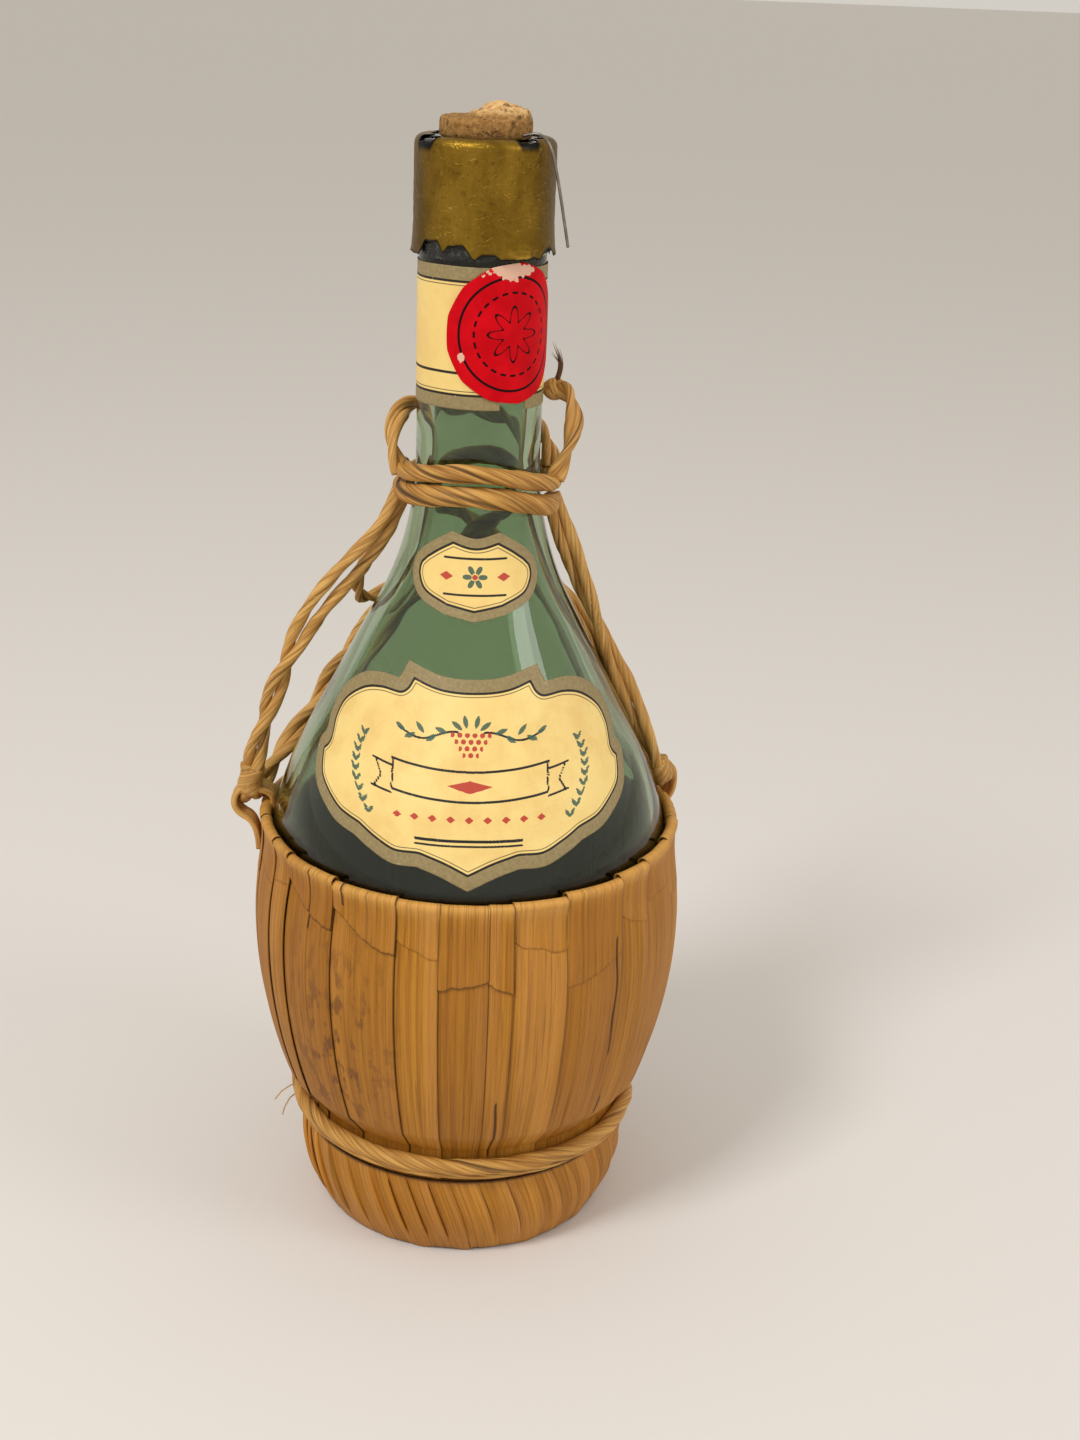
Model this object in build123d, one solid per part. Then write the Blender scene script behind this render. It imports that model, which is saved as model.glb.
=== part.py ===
from build123d import *
import os
from math import asin, atan2, cos, degrees, pi, radians, sin, sqrt, tan

# A straw-covered wine flask: a round-bottomed glass flask, a basket of dried leaf strips on a
# straw foot ring, a cork, a foil capsule, paper labels and slings of twisted grass.
# Millimetres. The origin is on the floor, on the flask's axis. -Y is the front, with the labels.
# Azimuths are in degrees from the front, and grow towards +X.

full_turn = 360.0
overrun = 5.0
seat_gap = 0.3
paste_gap = 0.05

# Flask
bulb_radius = 53.2
bulb_height = 86.0
shoulder_radius = 100.0
bottom_radius = 39.22
shoulder_slope = 27.5
neck_sweep_radius = 80.0
neck_radius = 15.15
flask_bottom = 8.0
wall = 3.0
neck_bore = 10.8
mouth_bore = 9.4
neck_length = 74.46
mouth_land = 36.0
bore_taper = 6.0
lip_swell = 0.95
lip_height = 13.0
lip_round = 1.6

# Cork
cork_clearance = 0.1
cork_shank = 32.0
cork_swell = 1.4
cork_head = 4.6
cork_worn_edge = 0.7
crumb_height = 3.4
crumb_shares = ((-0.1, 0.25), (0.3, -0.05), (0.75, 0.1), (0.85, 0.4), (0.5, 0.75), (0.05, 0.65))
crumb_top_share = 0.55
crumb_middle_shares = (0.4, 0.35)

# Foil capsule and its wire, whose points' heights are above the capsule's top
foil = 0.3
foil_gap = 0.15
capsule_length = 26.4
capsule_flare = 0.5
capsule_shoulder = 1.8
capsule_hole_margin = 1.3
tear_width = 2.6
tear_depth = 2.2
tear_shares = (0.3, 0.9, 0.15, 0.6, 1.0, 0.35, 0.75, 0.2, 0.85, 0.5, 0.25, 0.7, 0.4, 1.0, 0.55, 0.2)
hole_tear_shares = (0.7, 0.2, 1.0, 0.4, 0.8, 0.3, 0.9, 0.5, 0.25)
wire_diameter = 0.8
wire_points = (
    (8.3, -8.6, 1.0),
    (10.6, -9.6, 1.85),
    (12.9, -10.3, 1.55),
    (15.0, -10.6, -1.15),
    (16.6, -10.4, -7.75),
    (18.1, -9.7, -15.35),
    (19.6, -8.6, -23.35),
)

# Paper: the band and the seal hang below the mouth, the labels stand above the bulb's widest
paper = 0.15
band_below_mouth = 27.7
band_height = 33.0
band_start = 44.0
band_sweep = 334.0
seal_radius = 16.4
seal_below_mouth = 42.8
seal_azimuth = 29.0
seal_thickness = 0.3
seal_points = 24
vintage_width = 30.0
vintage_height = 20.3
vintage_above_bulb = 81.6
vintage_shares = (
    (0.0, 0.0), (0.25, 0.07), (0.44, 0.21), (0.5, 0.42), (0.48, 0.63),
    (0.42, 0.76), (0.32, 0.88), (0.19, 1.0), (0.0, 0.93),
)
label_width = 76.0
label_height = 48.6
label_above_bulb = 23.4
label_shares = (
    (0.0, 0.0), (0.11, 0.05), (0.17, 0.09), (0.24, 0.1), (0.32, 0.16), (0.37, 0.17), (0.41, 0.22),
    (0.45, 0.27), (0.49, 0.33), (0.5, 0.39), (0.49, 0.48), (0.48, 0.53), (0.46, 0.58), (0.43, 0.66),
    (0.4, 0.77), (0.35, 0.86), (0.3, 0.9), (0.24, 0.93), (0.2, 1.0), (0.1, 0.97), (0.0, 0.95),
)

# Straw wall: leaf strips that stand side by side, each folded outwards over the rim cord
leaf = 0.9
leaf_gap = 0.3
basket_slack = 1.7
basket_sag = 4.0
basket_sweep_radius = 125.0
waist_slack = 7.61
waist_above_bottom = 20.6
waist_shoulder = 11.0
rim_above_bulb = 20.8
rim_rise = 3.4
fold_radius = 1.25
flap_start = 0.18
strip_shares = (
    1.0, 1.5, 0.9, 1.8, 1.8, 1.1, 1.2, 0.6, 1.4, 1.7, 1.1, 1.4,
    1.5, 1.7, 1.3, 1.8, 1.6, 1.9, 1.4, 1.7, 1.6, 1.3, 1.8, 1.5,
)
strip_first_azimuth = -91.0
flap_lengths = (
    15.0, 11.0, 9.0, 12.0, 13.0, 12.5, 20.0, 21.0, 12.0, 23.0, 14.0, 10.0,
    16.0, 12.0, 18.0, 13.0, 22.0, 14.0, 11.0, 19.0, 13.0, 17.0, 12.0, 15.0,
)
rim_cord_diameter = 0.7
rim_cord_drop = 0.5

# Foot: a ring of coiled straw under the flask, dressed in pleated leaf
foot_middle = 18.5
foot_sweep_radius = 34.0
foot_bore = 31.0
ring_above_waist = 1.4
ring_chamfer = 1.5
wrap_lift = 0.4
wraps = 12
pleats = 3
pleat_groove = 0.35

# Twisted grass cords
waist_cord_diameter = 2.9
waist_cord_pitch = 3.4
waist_cord_start = -90.0
waist_cord_quarters = 6
neck_wrap_diameter = 4.7
neck_wrap_gap = 0.9
neck_wrap_pitch = 5.4
neck_wrap_below_neck = 0.84
neck_wrap_sag = 3.6
neck_wrap_start = -90.0
neck_wrap_quarters = 6
sling_diameter = 5.0
loop_diameter = 4.4
small_loop_diameter = 3.0
tail_diameter = 1.4
knot_radius = 2.8
knot_centre = (18.0, 5.8, 218.6)
bend_share = 0.45

left_sling_points = (
    (-19.2, -3.2, 191.0),
    (-23.0, -4.2, 183.6),
    (-30.6, -5.0, 175.0),
    (-39.2, -4.4, 164.6),
    (-46.0, -3.2, 152.0),
    (-50.6, -2.0, 139.0),
    (-53.6, -0.8, 128.6),
    (-54.8, 0.4, 121.4),
    (-55.0, 1.6, 116.4),
    (-54.0, 5.6, 113.6),
    (-51.8, 10.6, 114.8),
    (-48.6, 15.8, 119.2),
    (-42.2, 22.6, 128.0),
    (-36.8, 22.6, 138.0),
    (-29.8, 22.6, 149.0),
    (-20.8, 23.8, 160.0),
    (-10.8, 23.9, 170.0),
    (-1.0, 23.0, 178.4),
    (8.5, 19.2, 185.2),
    (13.6, 14.4, 189.6),
)
right_sling_points = (
    (19.9, -1.0, 188.6),
    (23.2, 1.4, 181.6),
    (27.2, 3.4, 173.4),
    (31.4, 5.0, 164.4),
    (35.6, 6.2, 154.6),
    (40.0, 7.4, 144.8),
    (44.1, 8.4, 135.4),
    (47.7, 9.4, 127.2),
    (50.4, 10.0, 120.8),
    (52.0, 11.4, 115.8),
    (52.2, 15.4, 113.1),
    (50.4, 19.9, 113.4),
    (47.6, 23.2, 116.6),
    (44.2, 25.4, 122.2),
    (40.4, 26.0, 129.4),
    (37.0, 24.0, 138.2),
    (32.2, 20.8, 148.2),
    (26.8, 18.6, 158.6),
    (18.8, 21.0, 167.6),
    (9.8, 25.8, 174.2),
    (0.6, 28.8, 179.2),
    (-8.0, 25.8, 184.2),
    (-14.2, 18.4, 188.4),
    (-16.6, 12.2, 190.6),
)
back_loop_points = (
    (-20.3, -4.6, 203.0),
    (-21.0, -2.4, 206.6),
    (-20.9, 2.2, 210.0),
    (-18.6, 8.4, 212.2),
    (-11.8, 15.2, 212.4),
    (-2.0, 19.4, 211.4),
    (8.0, 17.8, 210.2),
    (15.4, 12.2, 207.6),
    (18.6, 7.0, 203.2),
)
right_loop_points = (
    (21.0, -2.6, 202.8),
    (22.6, -1.6, 208.4),
    (23.4, 0.8, 213.8),
    (22.2, 4.0, 217.8),
)
small_loop_points = (
    (-24.6, -0.2, 179.2),
    (-28.0, 3.4, 174.8),
    (-30.4, 7.0, 169.0),
    (-30.2, 11.2, 163.8),
    (-26.8, 15.2, 161.0),
    (-22.8, 18.6, 162.8),
    (-20.6, 20.0, 166.4),
)
tail_points = (
    (18.9, 3.6, 221.6),
    (19.8, 2.9, 224.4),
    (19.4, 2.4, 227.4),
    (18.6, 2.2, 229.6),
)

# Places that several pieces share
shoulder_width = bulb_radius - shoulder_radius * (1 - cos(radians(shoulder_slope)))
sweep_width = neck_radius + neck_sweep_radius * (1 - cos(radians(shoulder_slope)))
shoulder_top = bulb_height + shoulder_radius * sin(radians(shoulder_slope))
sweep_bottom = shoulder_top + (shoulder_width - sweep_width) / tan(radians(shoulder_slope))
neck_start = sweep_bottom + neck_sweep_radius * sin(radians(shoulder_slope))
mouth_height = neck_start + neck_length
cap_height = flask_bottom + bottom_radius
lower_middle_drop = bulb_height - cap_height
lower_radius = (bulb_radius**2 + lower_middle_drop**2 - bottom_radius**2) / (
    2 * (bulb_radius - bottom_radius)
)
lip_radius = neck_radius + lip_swell
cork_head_radius = mouth_bore + cork_swell
capsule_top = mouth_height + foil_gap
waist_height = flask_bottom + waist_above_bottom
waist_glass = bulb_radius - lower_radius + sqrt(lower_radius**2 - (bulb_height - waist_height) ** 2)
waist_radius = waist_glass + waist_slack
waist_reach = (waist_cord_pitch * waist_cord_quarters / 4 + waist_cord_diameter) / 2 + leaf_gap
widest = bulb_radius + basket_slack + leaf / 2
widest_height = bulb_height - basket_sag


def polar(centre, radius, angle):
    """The point at an angle, in degrees, on a circle in the half plane of (radius, height)."""
    return (centre[0] + radius * cos(radians(angle)), centre[1] + radius * sin(radians(angle)))


def arc(centre, radius, start, end):
    """The arc between two angles of that circle."""
    middle = (start + end) / 2
    return ThreePointArc(*(polar(centre, radius, angle) for angle in (start, middle, end)))


def turned(face, sweep, azimuth):
    """A section in the half plane of (radius, height), turned through a sweep from an azimuth."""
    whole = revolve(Plane.XZ * face, Axis.Z, sweep)
    return Rot(Z=azimuth - full_turn / 4) * whole


def flask_line(out, neck, sweep):
    """The flask's line from its bottom to its neck, moved out by a distance."""
    middle = (bulb_radius - shoulder_radius, bulb_height)
    lower_middle = (bulb_radius - lower_radius, bulb_height)
    low = degrees(atan2(-lower_middle_drop, -lower_middle[0]))
    shoulder = polar(middle, shoulder_radius + out, shoulder_slope)
    slope = radians(shoulder_slope)
    start = neck + sweep * (1 - cos(slope))
    start_height = shoulder[1] + (shoulder[0] - start) / tan(slope)
    neck_middle = (neck + sweep, start_height + sweep * sin(slope))
    return [
        arc((0, cap_height), bottom_radius + out, -full_turn / 4, low),
        arc(lower_middle, lower_radius + out, low, 0),
        arc(middle, shoulder_radius + out, 0, shoulder_slope),
        Line(shoulder, (start, start_height)),
        arc(neck_middle, sweep, full_turn / 2 + shoulder_slope, full_turn / 2),
    ]


def outside(out):
    """The flask's outer line, moved out."""
    return flask_line(out, neck_radius + out, neck_sweep_radius - out)


def glass_radius(height):
    """The flask's outer radius at a height between its bulb and its shoulder."""
    return bulb_radius - shoulder_radius + sqrt(shoulder_radius**2 - (height - bulb_height) ** 2)


def envelope(out, top):
    """A solid that the flask's outer line bounds, moved out, up to a height."""
    edges = outside(out)
    end = edges[-1] @ 1
    edges.append(Polyline((end.X, end.Y), (end.X, top), (0, top), (0, flask_bottom - out)))
    return turned(make_face(edges), full_turn, 0)


def skin(near, far, bottom, top, start, sweep):
    """A shell round the flask between two distances from the glass and two heights."""
    shell = envelope(far, mouth_height) - envelope(near, mouth_height)
    height = top - bottom
    width = 2 * (bulb_radius + overrun)
    zone = Pos(0, 0, bottom + height / 2) * Box(width, width, height)
    shell = shell & zone
    if sweep < full_turn:
        wedge = turned(Pos(width / 2, bottom + height / 2) * Rectangle(width, height), sweep, start)
        shell = shell & wedge
    return shell


def glass_flask():
    """The blown flask: bulb, shoulder, neck, lip ring and bore, open at the mouth."""
    outer = outside(0)
    inner = flask_line(-wall, neck_bore, neck_sweep_radius + wall)
    end = outer[-1] @ 1
    inner_end = inner[-1] @ 1
    lip_low = mouth_height - lip_height
    land_low = mouth_height - mouth_land
    rim = Polyline(
        (end.X, end.Y),
        (neck_radius, lip_low - lip_round),
        (lip_radius, lip_low),
        (lip_radius, mouth_height - lip_round),
        (lip_radius - lip_round, mouth_height),
        (mouth_bore, mouth_height),
        (mouth_bore, land_low),
        (neck_bore, land_low - bore_taper),
        (inner_end.X, inner_end.Y),
    )
    bottom = Line((0, flask_bottom + wall), (0, flask_bottom))
    return turned(make_face([*outer, rim, *inner, bottom]), full_turn, 0)


def cork_stopper():
    """The cork: a shank in the bore, a head that has sprung wider above it, and a crumbled lump."""
    top = capsule_top + cork_head
    shank = mouth_bore - cork_clearance
    section = Polyline(
        (0, capsule_top - cork_shank),
        (shank - cork_worn_edge, capsule_top - cork_shank),
        (shank, capsule_top - cork_shank + cork_worn_edge),
        (shank, capsule_top),
        (cork_head_radius, capsule_top),
        (cork_head_radius, top - cork_worn_edge),
        (cork_head_radius - cork_worn_edge, top),
        (0, top),
        (0, capsule_top - cork_shank),
    )
    body = turned(make_face(section), full_turn, 0)
    low = [(x * cork_head_radius, y * cork_head_radius) for x, y in crumb_shares]
    cx, cy = (share * cork_head_radius for share in crumb_middle_shares)
    high = [(cx + (x - cx) * crumb_top_share, cy + (y - cy) * crumb_top_share) for x, y in low]
    lump = loft([
        Pos(0, 0, top - cork_worn_edge) * make_face(Polyline(*low, close=True)),
        Pos(0, 0, top + crumb_height) * make_face(Polyline(*high, close=True)),
    ])
    return body + lump


def tear(width, depth, reach, height, azimuth):
    """A wedge that bites a notch out of an edge: its point is depth above its base."""
    outline = make_face(Polyline((-width / 2, 0), (width / 2, 0), (0, depth), close=True))
    wedge = extrude(Plane.XZ * outline, -reach)
    return Rot(Z=azimuth) * Pos(0, -reach, height) * wedge


def foil_capsule():
    """The foil: a thin sleeve over the lip, flared and torn below, torn open round the cork."""
    inner = lip_radius + foil_gap
    hole = cork_head_radius + capsule_hole_margin
    low = capsule_top - capsule_length
    section = Polyline(
        (inner + capsule_flare, low),
        (inner, capsule_top - capsule_length / 2),
        (inner, capsule_top - capsule_shoulder),
        (inner - capsule_shoulder, capsule_top),
        (hole, capsule_top),
        (hole, capsule_top + foil),
        (inner - capsule_shoulder + foil / 2, capsule_top + foil),
        (inner + foil, capsule_top - capsule_shoulder + foil / 2),
        (inner + foil, capsule_top - capsule_length / 2),
        (inner + capsule_flare + foil, low),
        (inner + capsule_flare, low),
    )
    shell = turned(make_face(section), full_turn, 0)
    notches = []
    for i, share in enumerate(tear_shares):
        azimuth = full_turn * i / len(tear_shares)
        width, depth = tear_width * (1 + share), tear_depth * share
        notches.append(tear(width, depth, inner + overrun, low, azimuth))
    for i, share in enumerate(hole_tear_shares):
        azimuth = full_turn * i / len(hole_tear_shares)
        bite = Cylinder(tear_depth * share / 2, overrun)
        notches.append(Rot(Z=azimuth) * Pos(hole, 0, capsule_top) * bite)
    return shell - notches


def band_label():
    """The paper band round the neck, whose ends the seal covers."""
    top = mouth_height - band_below_mouth
    return skin(paste_gap, paste_gap + paper, top - band_height, top, band_start, band_sweep)


def seal():
    """The round paper seal, pasted round the neck over the band."""
    near = 2 * paste_gap + paper
    centre = mouth_height - seal_below_mouth
    pasted_radius = neck_radius + near
    points = []
    for i in range(seal_points):
        angle = radians(full_turn * i / seal_points)
        across = pasted_radius * sin(seal_radius * cos(angle) / pasted_radius)
        points.append((across, centre + seal_radius * sin(angle)))
    outline = make_face(Polyline(*points, close=True))
    prism = Rot(Z=seal_azimuth) * extrude(Plane.XZ * outline, bulb_radius)
    low, high = centre - seal_radius - overrun, centre + seal_radius + overrun
    return skin(near, near + seal_thickness, low, high, 0, full_turn) & prism


def cartouche(width, height, bottom, shares):
    """A label with a scalloped outline, the same left and right, cut from a skin on the flask."""
    right = [(x * width, bottom + y * height) for x, y in shares]
    left = [(-x, z) for x, z in reversed(right[1:-1])]
    prism = extrude(Plane.XZ * make_face(Polyline(*right, *left, close=True)), bulb_radius + overrun)
    low, high = bottom - overrun, bottom + height + overrun
    return skin(paste_gap, paste_gap + paper, low, high, 0, full_turn) & prism


def rim_at(azimuth):
    """The height of the basket's rim, which rises to an ear on each side."""
    return bulb_height + rim_above_bulb + rim_rise * sin(radians(azimuth)) ** 2


def upper_arc(rim):
    """The arc that draws a strip in from the basket's widest place to its fold under a rim."""
    fold = rim - leaf / 2 - fold_radius
    drop = widest - (glass_radius(fold) + leaf_gap + leaf / 2)
    rise = fold - widest_height
    radius = (rise**2 + drop**2) / (2 * drop)
    return (widest - radius, widest_height), radius, degrees(asin(rise / radius))


def strip_section(rim, flap):
    """A strip's line: up from the waist, over the rim cord and down outside as a short flap."""
    middle, radius, lean = upper_arc(rim)
    crest = polar(middle, radius + fold_radius, lean)
    low_middle = (widest - basket_sweep_radius, widest_height)
    shoulder = waist_height + waist_shoulder
    low = degrees(asin((shoulder - widest_height) / basket_sweep_radius))
    bottom = (waist_radius - leaf / 2, waist_height - waist_reach)
    waist_top = (waist_radius - leaf / 2, waist_height + waist_reach)
    below = rim - leaf / 2 - fold_radius - flap
    wall_there = middle[0] + sqrt(radius**2 - (below - widest_height) ** 2)
    fold = arc(crest, fold_radius, full_turn / 2 + lean, lean)
    edges = [
        Line(bottom, waist_top),
        Line(waist_top, polar(low_middle, basket_sweep_radius, low)),
        arc(low_middle, basket_sweep_radius, low, 0),
        arc(middle, radius, 0, lean),
        fold,
        TangentArc(fold @ 1, (wall_there + leaf + flap_start, below), tangent=fold % 1),
    ]
    return trace(Curve() + edges, leaf)


def wall_strips():
    """All the wall's strips, clockwise from the left, with a small gap from each to the next."""
    total = sum(strip_shares)
    gap = degrees(leaf_gap / widest)
    azimuth = strip_first_azimuth
    made = []
    for share, flap in zip(strip_shares, flap_lengths):
        width = full_turn * share / total
        section = strip_section(rim_at(azimuth + width / 2), flap)
        made.append(turned(section, width - gap, azimuth + gap / 2))
        azimuth += width
    return made


def foot_line(inset):
    """The foot's round side, from under the strips down to the floor, moved in."""
    rise = waist_height - waist_reach - leaf_gap - foot_middle
    middle = (waist_radius - sqrt(foot_sweep_radius**2 - rise**2), foot_middle)
    top = degrees(asin(rise / foot_sweep_radius))
    low = degrees(asin((wrap_lift - foot_middle) / foot_sweep_radius))
    return arc(middle, foot_sweep_radius - inset, top, low)


def foot_ring():
    """The coiled straw ring that the flask sits in, flat where it stands on the floor."""
    side = foot_line(leaf + seat_gap)
    start, end = side @ 0, side @ 1
    upper = waist_radius - leaf - seat_gap
    top = waist_height + ring_above_waist
    section = make_face([
        side,
        Polyline(
            (end.X, end.Y),
            (end.X - wrap_lift, 0),
            (foot_bore + ring_chamfer, 0),
            (foot_bore - ring_chamfer, foot_middle),
            (foot_bore, top),
            (upper - ring_chamfer, top),
            (upper, top - ring_chamfer),
            (upper, waist_height - waist_reach),
            (start.X, start.Y),
        ),
    ])
    return turned(section, full_turn, 0) - envelope(seat_gap, mouth_height)


def foot_wraps():
    """Leaves wrapped down over the foot ring, each pleated by shallow grooves."""
    width = full_turn / wraps
    gap = degrees(leaf_gap / waist_radius)
    half = degrees(pleat_groove / waist_radius)
    section = trace(foot_line(leaf / 2), leaf)
    groove = trace(foot_line(0), leaf)
    made = []
    for i in range(wraps):
        wrap = turned(section, width - gap, i * width + gap / 2)
        for k in range(1, pleats):
            azimuth = (i + k / pleats) * width
            wrap = wrap - turned(groove, 2 * half, azimuth - half)
        made.append(wrap)
    return made


def place(azimuth, radius, height):
    """A point at an azimuth, a radius and a height."""
    angle = radians(azimuth)
    return Vector(radius * sin(angle), -radius * cos(angle), height)


def biarc(start, leave, end, arrive):
    """Two arcs from one point to another that share a tangent where they meet."""
    chord = end - start
    both = leave + arrive
    spare = 4 - both.dot(both)
    along = chord.dot(both)
    reach = (sqrt(along**2 + spare * chord.dot(chord)) - along) / spare
    meet = (start + end) * 0.5 + (leave - arrive) * (reach / 2)
    first = TangentArc(start, meet, tangent=leave)
    return [first, TangentArc(meet, end, tangent=(first % 1))]


def winding(radius_at, height_at, start, quarters):
    """A winding round the axis, two arcs to each quarter turn, on formulas of its azimuth."""
    step = full_turn / 4
    nudge = step / 1000
    edges = []
    places = []
    for k in range(quarters + 1):
        azimuth = start + k * step
        behind, here, ahead = (
            place(angle, radius_at(angle), height_at(angle))
            for angle in (azimuth - nudge, azimuth, azimuth + nudge)
        )
        places.append((here, (ahead - behind).normalized()))
    for (a, leave), (b, arrive) in zip(places, places[1:]):
        edges += biarc(a, leave, b, arrive)
    return edges


def tube(edges, diameter):
    """A round tube swept along edges that run on into each other."""
    path = Wire(edges)
    section = Plane(origin=path @ 0, z_dir=path % 0) * Circle(diameter / 2)
    return sweep(section, path=path)


def least_gap(edges, diameter, samples):
    """The least clear distance between a winding's turns, measured on points."""
    points = [edge @ (i / samples) for edge in edges for i in range(samples)]
    near = len(edges) // 2 * samples // 2
    gaps = [
        (points[i] - points[j]).length - diameter
        for i in range(len(points))
        for j in range(i + near, len(points))
    ]
    return min(gaps)


def neck_wrap_radius(azimuth):
    """The neck wrap lies on the neck, and keeps its radius."""
    return neck_radius + neck_wrap_gap + neck_wrap_diameter / 2


def neck_wrap_height(azimuth):
    """The neck wrap falls a pitch each turn, and the slings pull it down at both sides."""
    sag = neck_wrap_sag * sin(radians(azimuth)) ** 2
    return neck_start - neck_wrap_below_neck - neck_wrap_pitch * azimuth / full_turn - sag


def waist_cord_radius(azimuth):
    """The waist cord lies on the strips, and keeps its radius."""
    return waist_radius + waist_cord_diameter / 2 + seat_gap


def waist_cord_height(azimuth):
    """The waist cord falls a pitch each turn, half way at the back."""
    return waist_height + waist_cord_pitch / 2 - waist_cord_pitch * azimuth / full_turn


def rim_cord_radius(azimuth):
    """The rim cord keeps to the middle of the folds, which lean in as the rim rises."""
    middle, radius, lean = upper_arc(rim_at(azimuth))
    return polar(middle, radius + fold_radius, lean)[0]


def rim_cord_height(azimuth):
    """The rim cord hangs a little under the middle of the folds."""
    middle, radius, lean = upper_arc(rim_at(azimuth))
    return polar(middle, radius + fold_radius, lean)[1] - rim_cord_drop


def route(points, name):
    """A cord's line: straight runs joined by arcs, each as large as its runs allow."""
    ends = [Vector(*point) for point in points]
    radii = []
    for before, here, after in zip(ends, ends[1:], ends[2:]):
        turn = radians((here - before).get_angle(after - here))
        shorter = min((here - before).length, (after - here).length)
        radii.append(bend_share * shorter / tan(turn / 2))
    line = FilletPolyline(*ends, radius=radii)
    length = sum(edge.length for edge in line.edges())
    print(name, "radii", [round(r, 1) for r in radii], "length", round(length, 1))
    return line, length


def cord(points, diameter, name):
    """A cord's tube along its route."""
    line, length = route(points, name)
    section = Plane(origin=line @ 0, z_dir=line % 0) * Circle(diameter / 2)
    solid = sweep(section, path=line)
    share = solid.volume / (pi * diameter**2 / 4 * length)
    print(name, "volume share of its section times its length", round(share, 4))
    return solid


def write(name, solid):
    """Write one piece."""
    export_step(solid, f"parts/{name}.step")


os.makedirs("parts", exist_ok=True)

write("glass_flask", glass_flask())
write("cork_stopper", cork_stopper())
write("foil_capsule", foil_capsule())
wire_route = [(x, y, capsule_top + height) for x, y, height in wire_points]
write("capsule_wire", cord(wire_route, wire_diameter, "capsule_wire"))
write("neck_band_label", band_label())
write("neck_seal", seal())
vintage_bottom = bulb_height + vintage_above_bulb
write("vintage_label", cartouche(vintage_width, vintage_height, vintage_bottom, vintage_shares))
label_bottom = bulb_height + label_above_bulb
write("main_label", cartouche(label_width, label_height, label_bottom, label_shares))

for number, strip in enumerate(wall_strips(), 1):
    write(f"straw_strip_{number:02d}", strip)
rim_edges = winding(rim_cord_radius, rim_cord_height, 0, 4)
write("rim_cord", tube(rim_edges, rim_cord_diameter))
for number, wrap in enumerate(foot_wraps(), 1):
    write(f"foot_wrap_{number:02d}", wrap)
write("foot_ring", foot_ring())

waist_edges = winding(waist_cord_radius, waist_cord_height, waist_cord_start, waist_cord_quarters)
print("waist cord's least gap", round(least_gap(waist_edges, waist_cord_diameter, 12), 2))
write("waist_cord", tube(waist_edges, waist_cord_diameter))
wrap_edges = winding(neck_wrap_radius, neck_wrap_height, neck_wrap_start, neck_wrap_quarters)
print("neck wrap's least gap", round(least_gap(wrap_edges, neck_wrap_diameter, 12), 2))
write("neck_wrap_cord", tube(wrap_edges, neck_wrap_diameter))

write("left_sling_cord", cord(left_sling_points, sling_diameter, "left_sling_cord"))
write("right_sling_cord", cord(right_sling_points, sling_diameter, "right_sling_cord"))
write("back_loop_cord", cord(back_loop_points, loop_diameter, "back_loop_cord"))
write("right_loop_cord", cord(right_loop_points, loop_diameter, "right_loop_cord"))
write("small_loop_cord", cord(small_loop_points, small_loop_diameter, "small_loop_cord"))
write("knot_tail", cord(tail_points, tail_diameter, "knot_tail"))
write("cord_knot", Pos(*knot_centre) * Sphere(knot_radius))
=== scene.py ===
# A straw-covered wine flask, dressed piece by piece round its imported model.
# Sizes are in millimetres and become metres where a mesh is made. Azimuths are in degrees from the
# front, -Y, where the labels are, and grow towards +X.
from math import atan2, cos, pi, radians, sin, tan

import bpy
import numpy as np
from mathutils import Matrix


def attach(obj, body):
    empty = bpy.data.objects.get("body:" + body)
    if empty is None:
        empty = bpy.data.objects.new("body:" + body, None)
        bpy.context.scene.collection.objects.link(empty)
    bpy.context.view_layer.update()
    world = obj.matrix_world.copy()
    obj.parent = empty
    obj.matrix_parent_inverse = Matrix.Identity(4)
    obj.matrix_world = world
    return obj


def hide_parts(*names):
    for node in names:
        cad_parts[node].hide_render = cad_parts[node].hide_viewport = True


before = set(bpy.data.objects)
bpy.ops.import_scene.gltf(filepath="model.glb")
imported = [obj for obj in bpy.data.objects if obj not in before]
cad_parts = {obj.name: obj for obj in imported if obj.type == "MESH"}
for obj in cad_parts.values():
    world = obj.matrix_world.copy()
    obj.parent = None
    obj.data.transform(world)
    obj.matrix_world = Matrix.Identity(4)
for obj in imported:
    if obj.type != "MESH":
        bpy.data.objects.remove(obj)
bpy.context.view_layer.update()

mm = 0.001


# The flask: one piece of blown bottle-green glass, round at the bottom, with a long neck and a lip
# ring for the capsule. Its wall is thickest at the mouth and slightly wavy inside. It is empty.
bulb_radius = 53.2
bulb_height = 86.0
shoulder_arc = 100.0
shoulder_slope = radians(27.5)
neck_arc = 80.0
neck_radius = 15.15
flask_bottom = 8.0
mouth_height = 277.6
lip_radius = 16.1
lip_low = 264.0
lip_round = 1.6
wall_heights = (8.0, 130.0, 200.0, 236.0, 242.0, 278.0)
wall_thicknesses = (3.0, 3.0, 4.2, 4.35, 5.75, 5.75)
wave_length = 46.0
inner_waves = 0.42
outer_waves = 0.05

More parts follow.
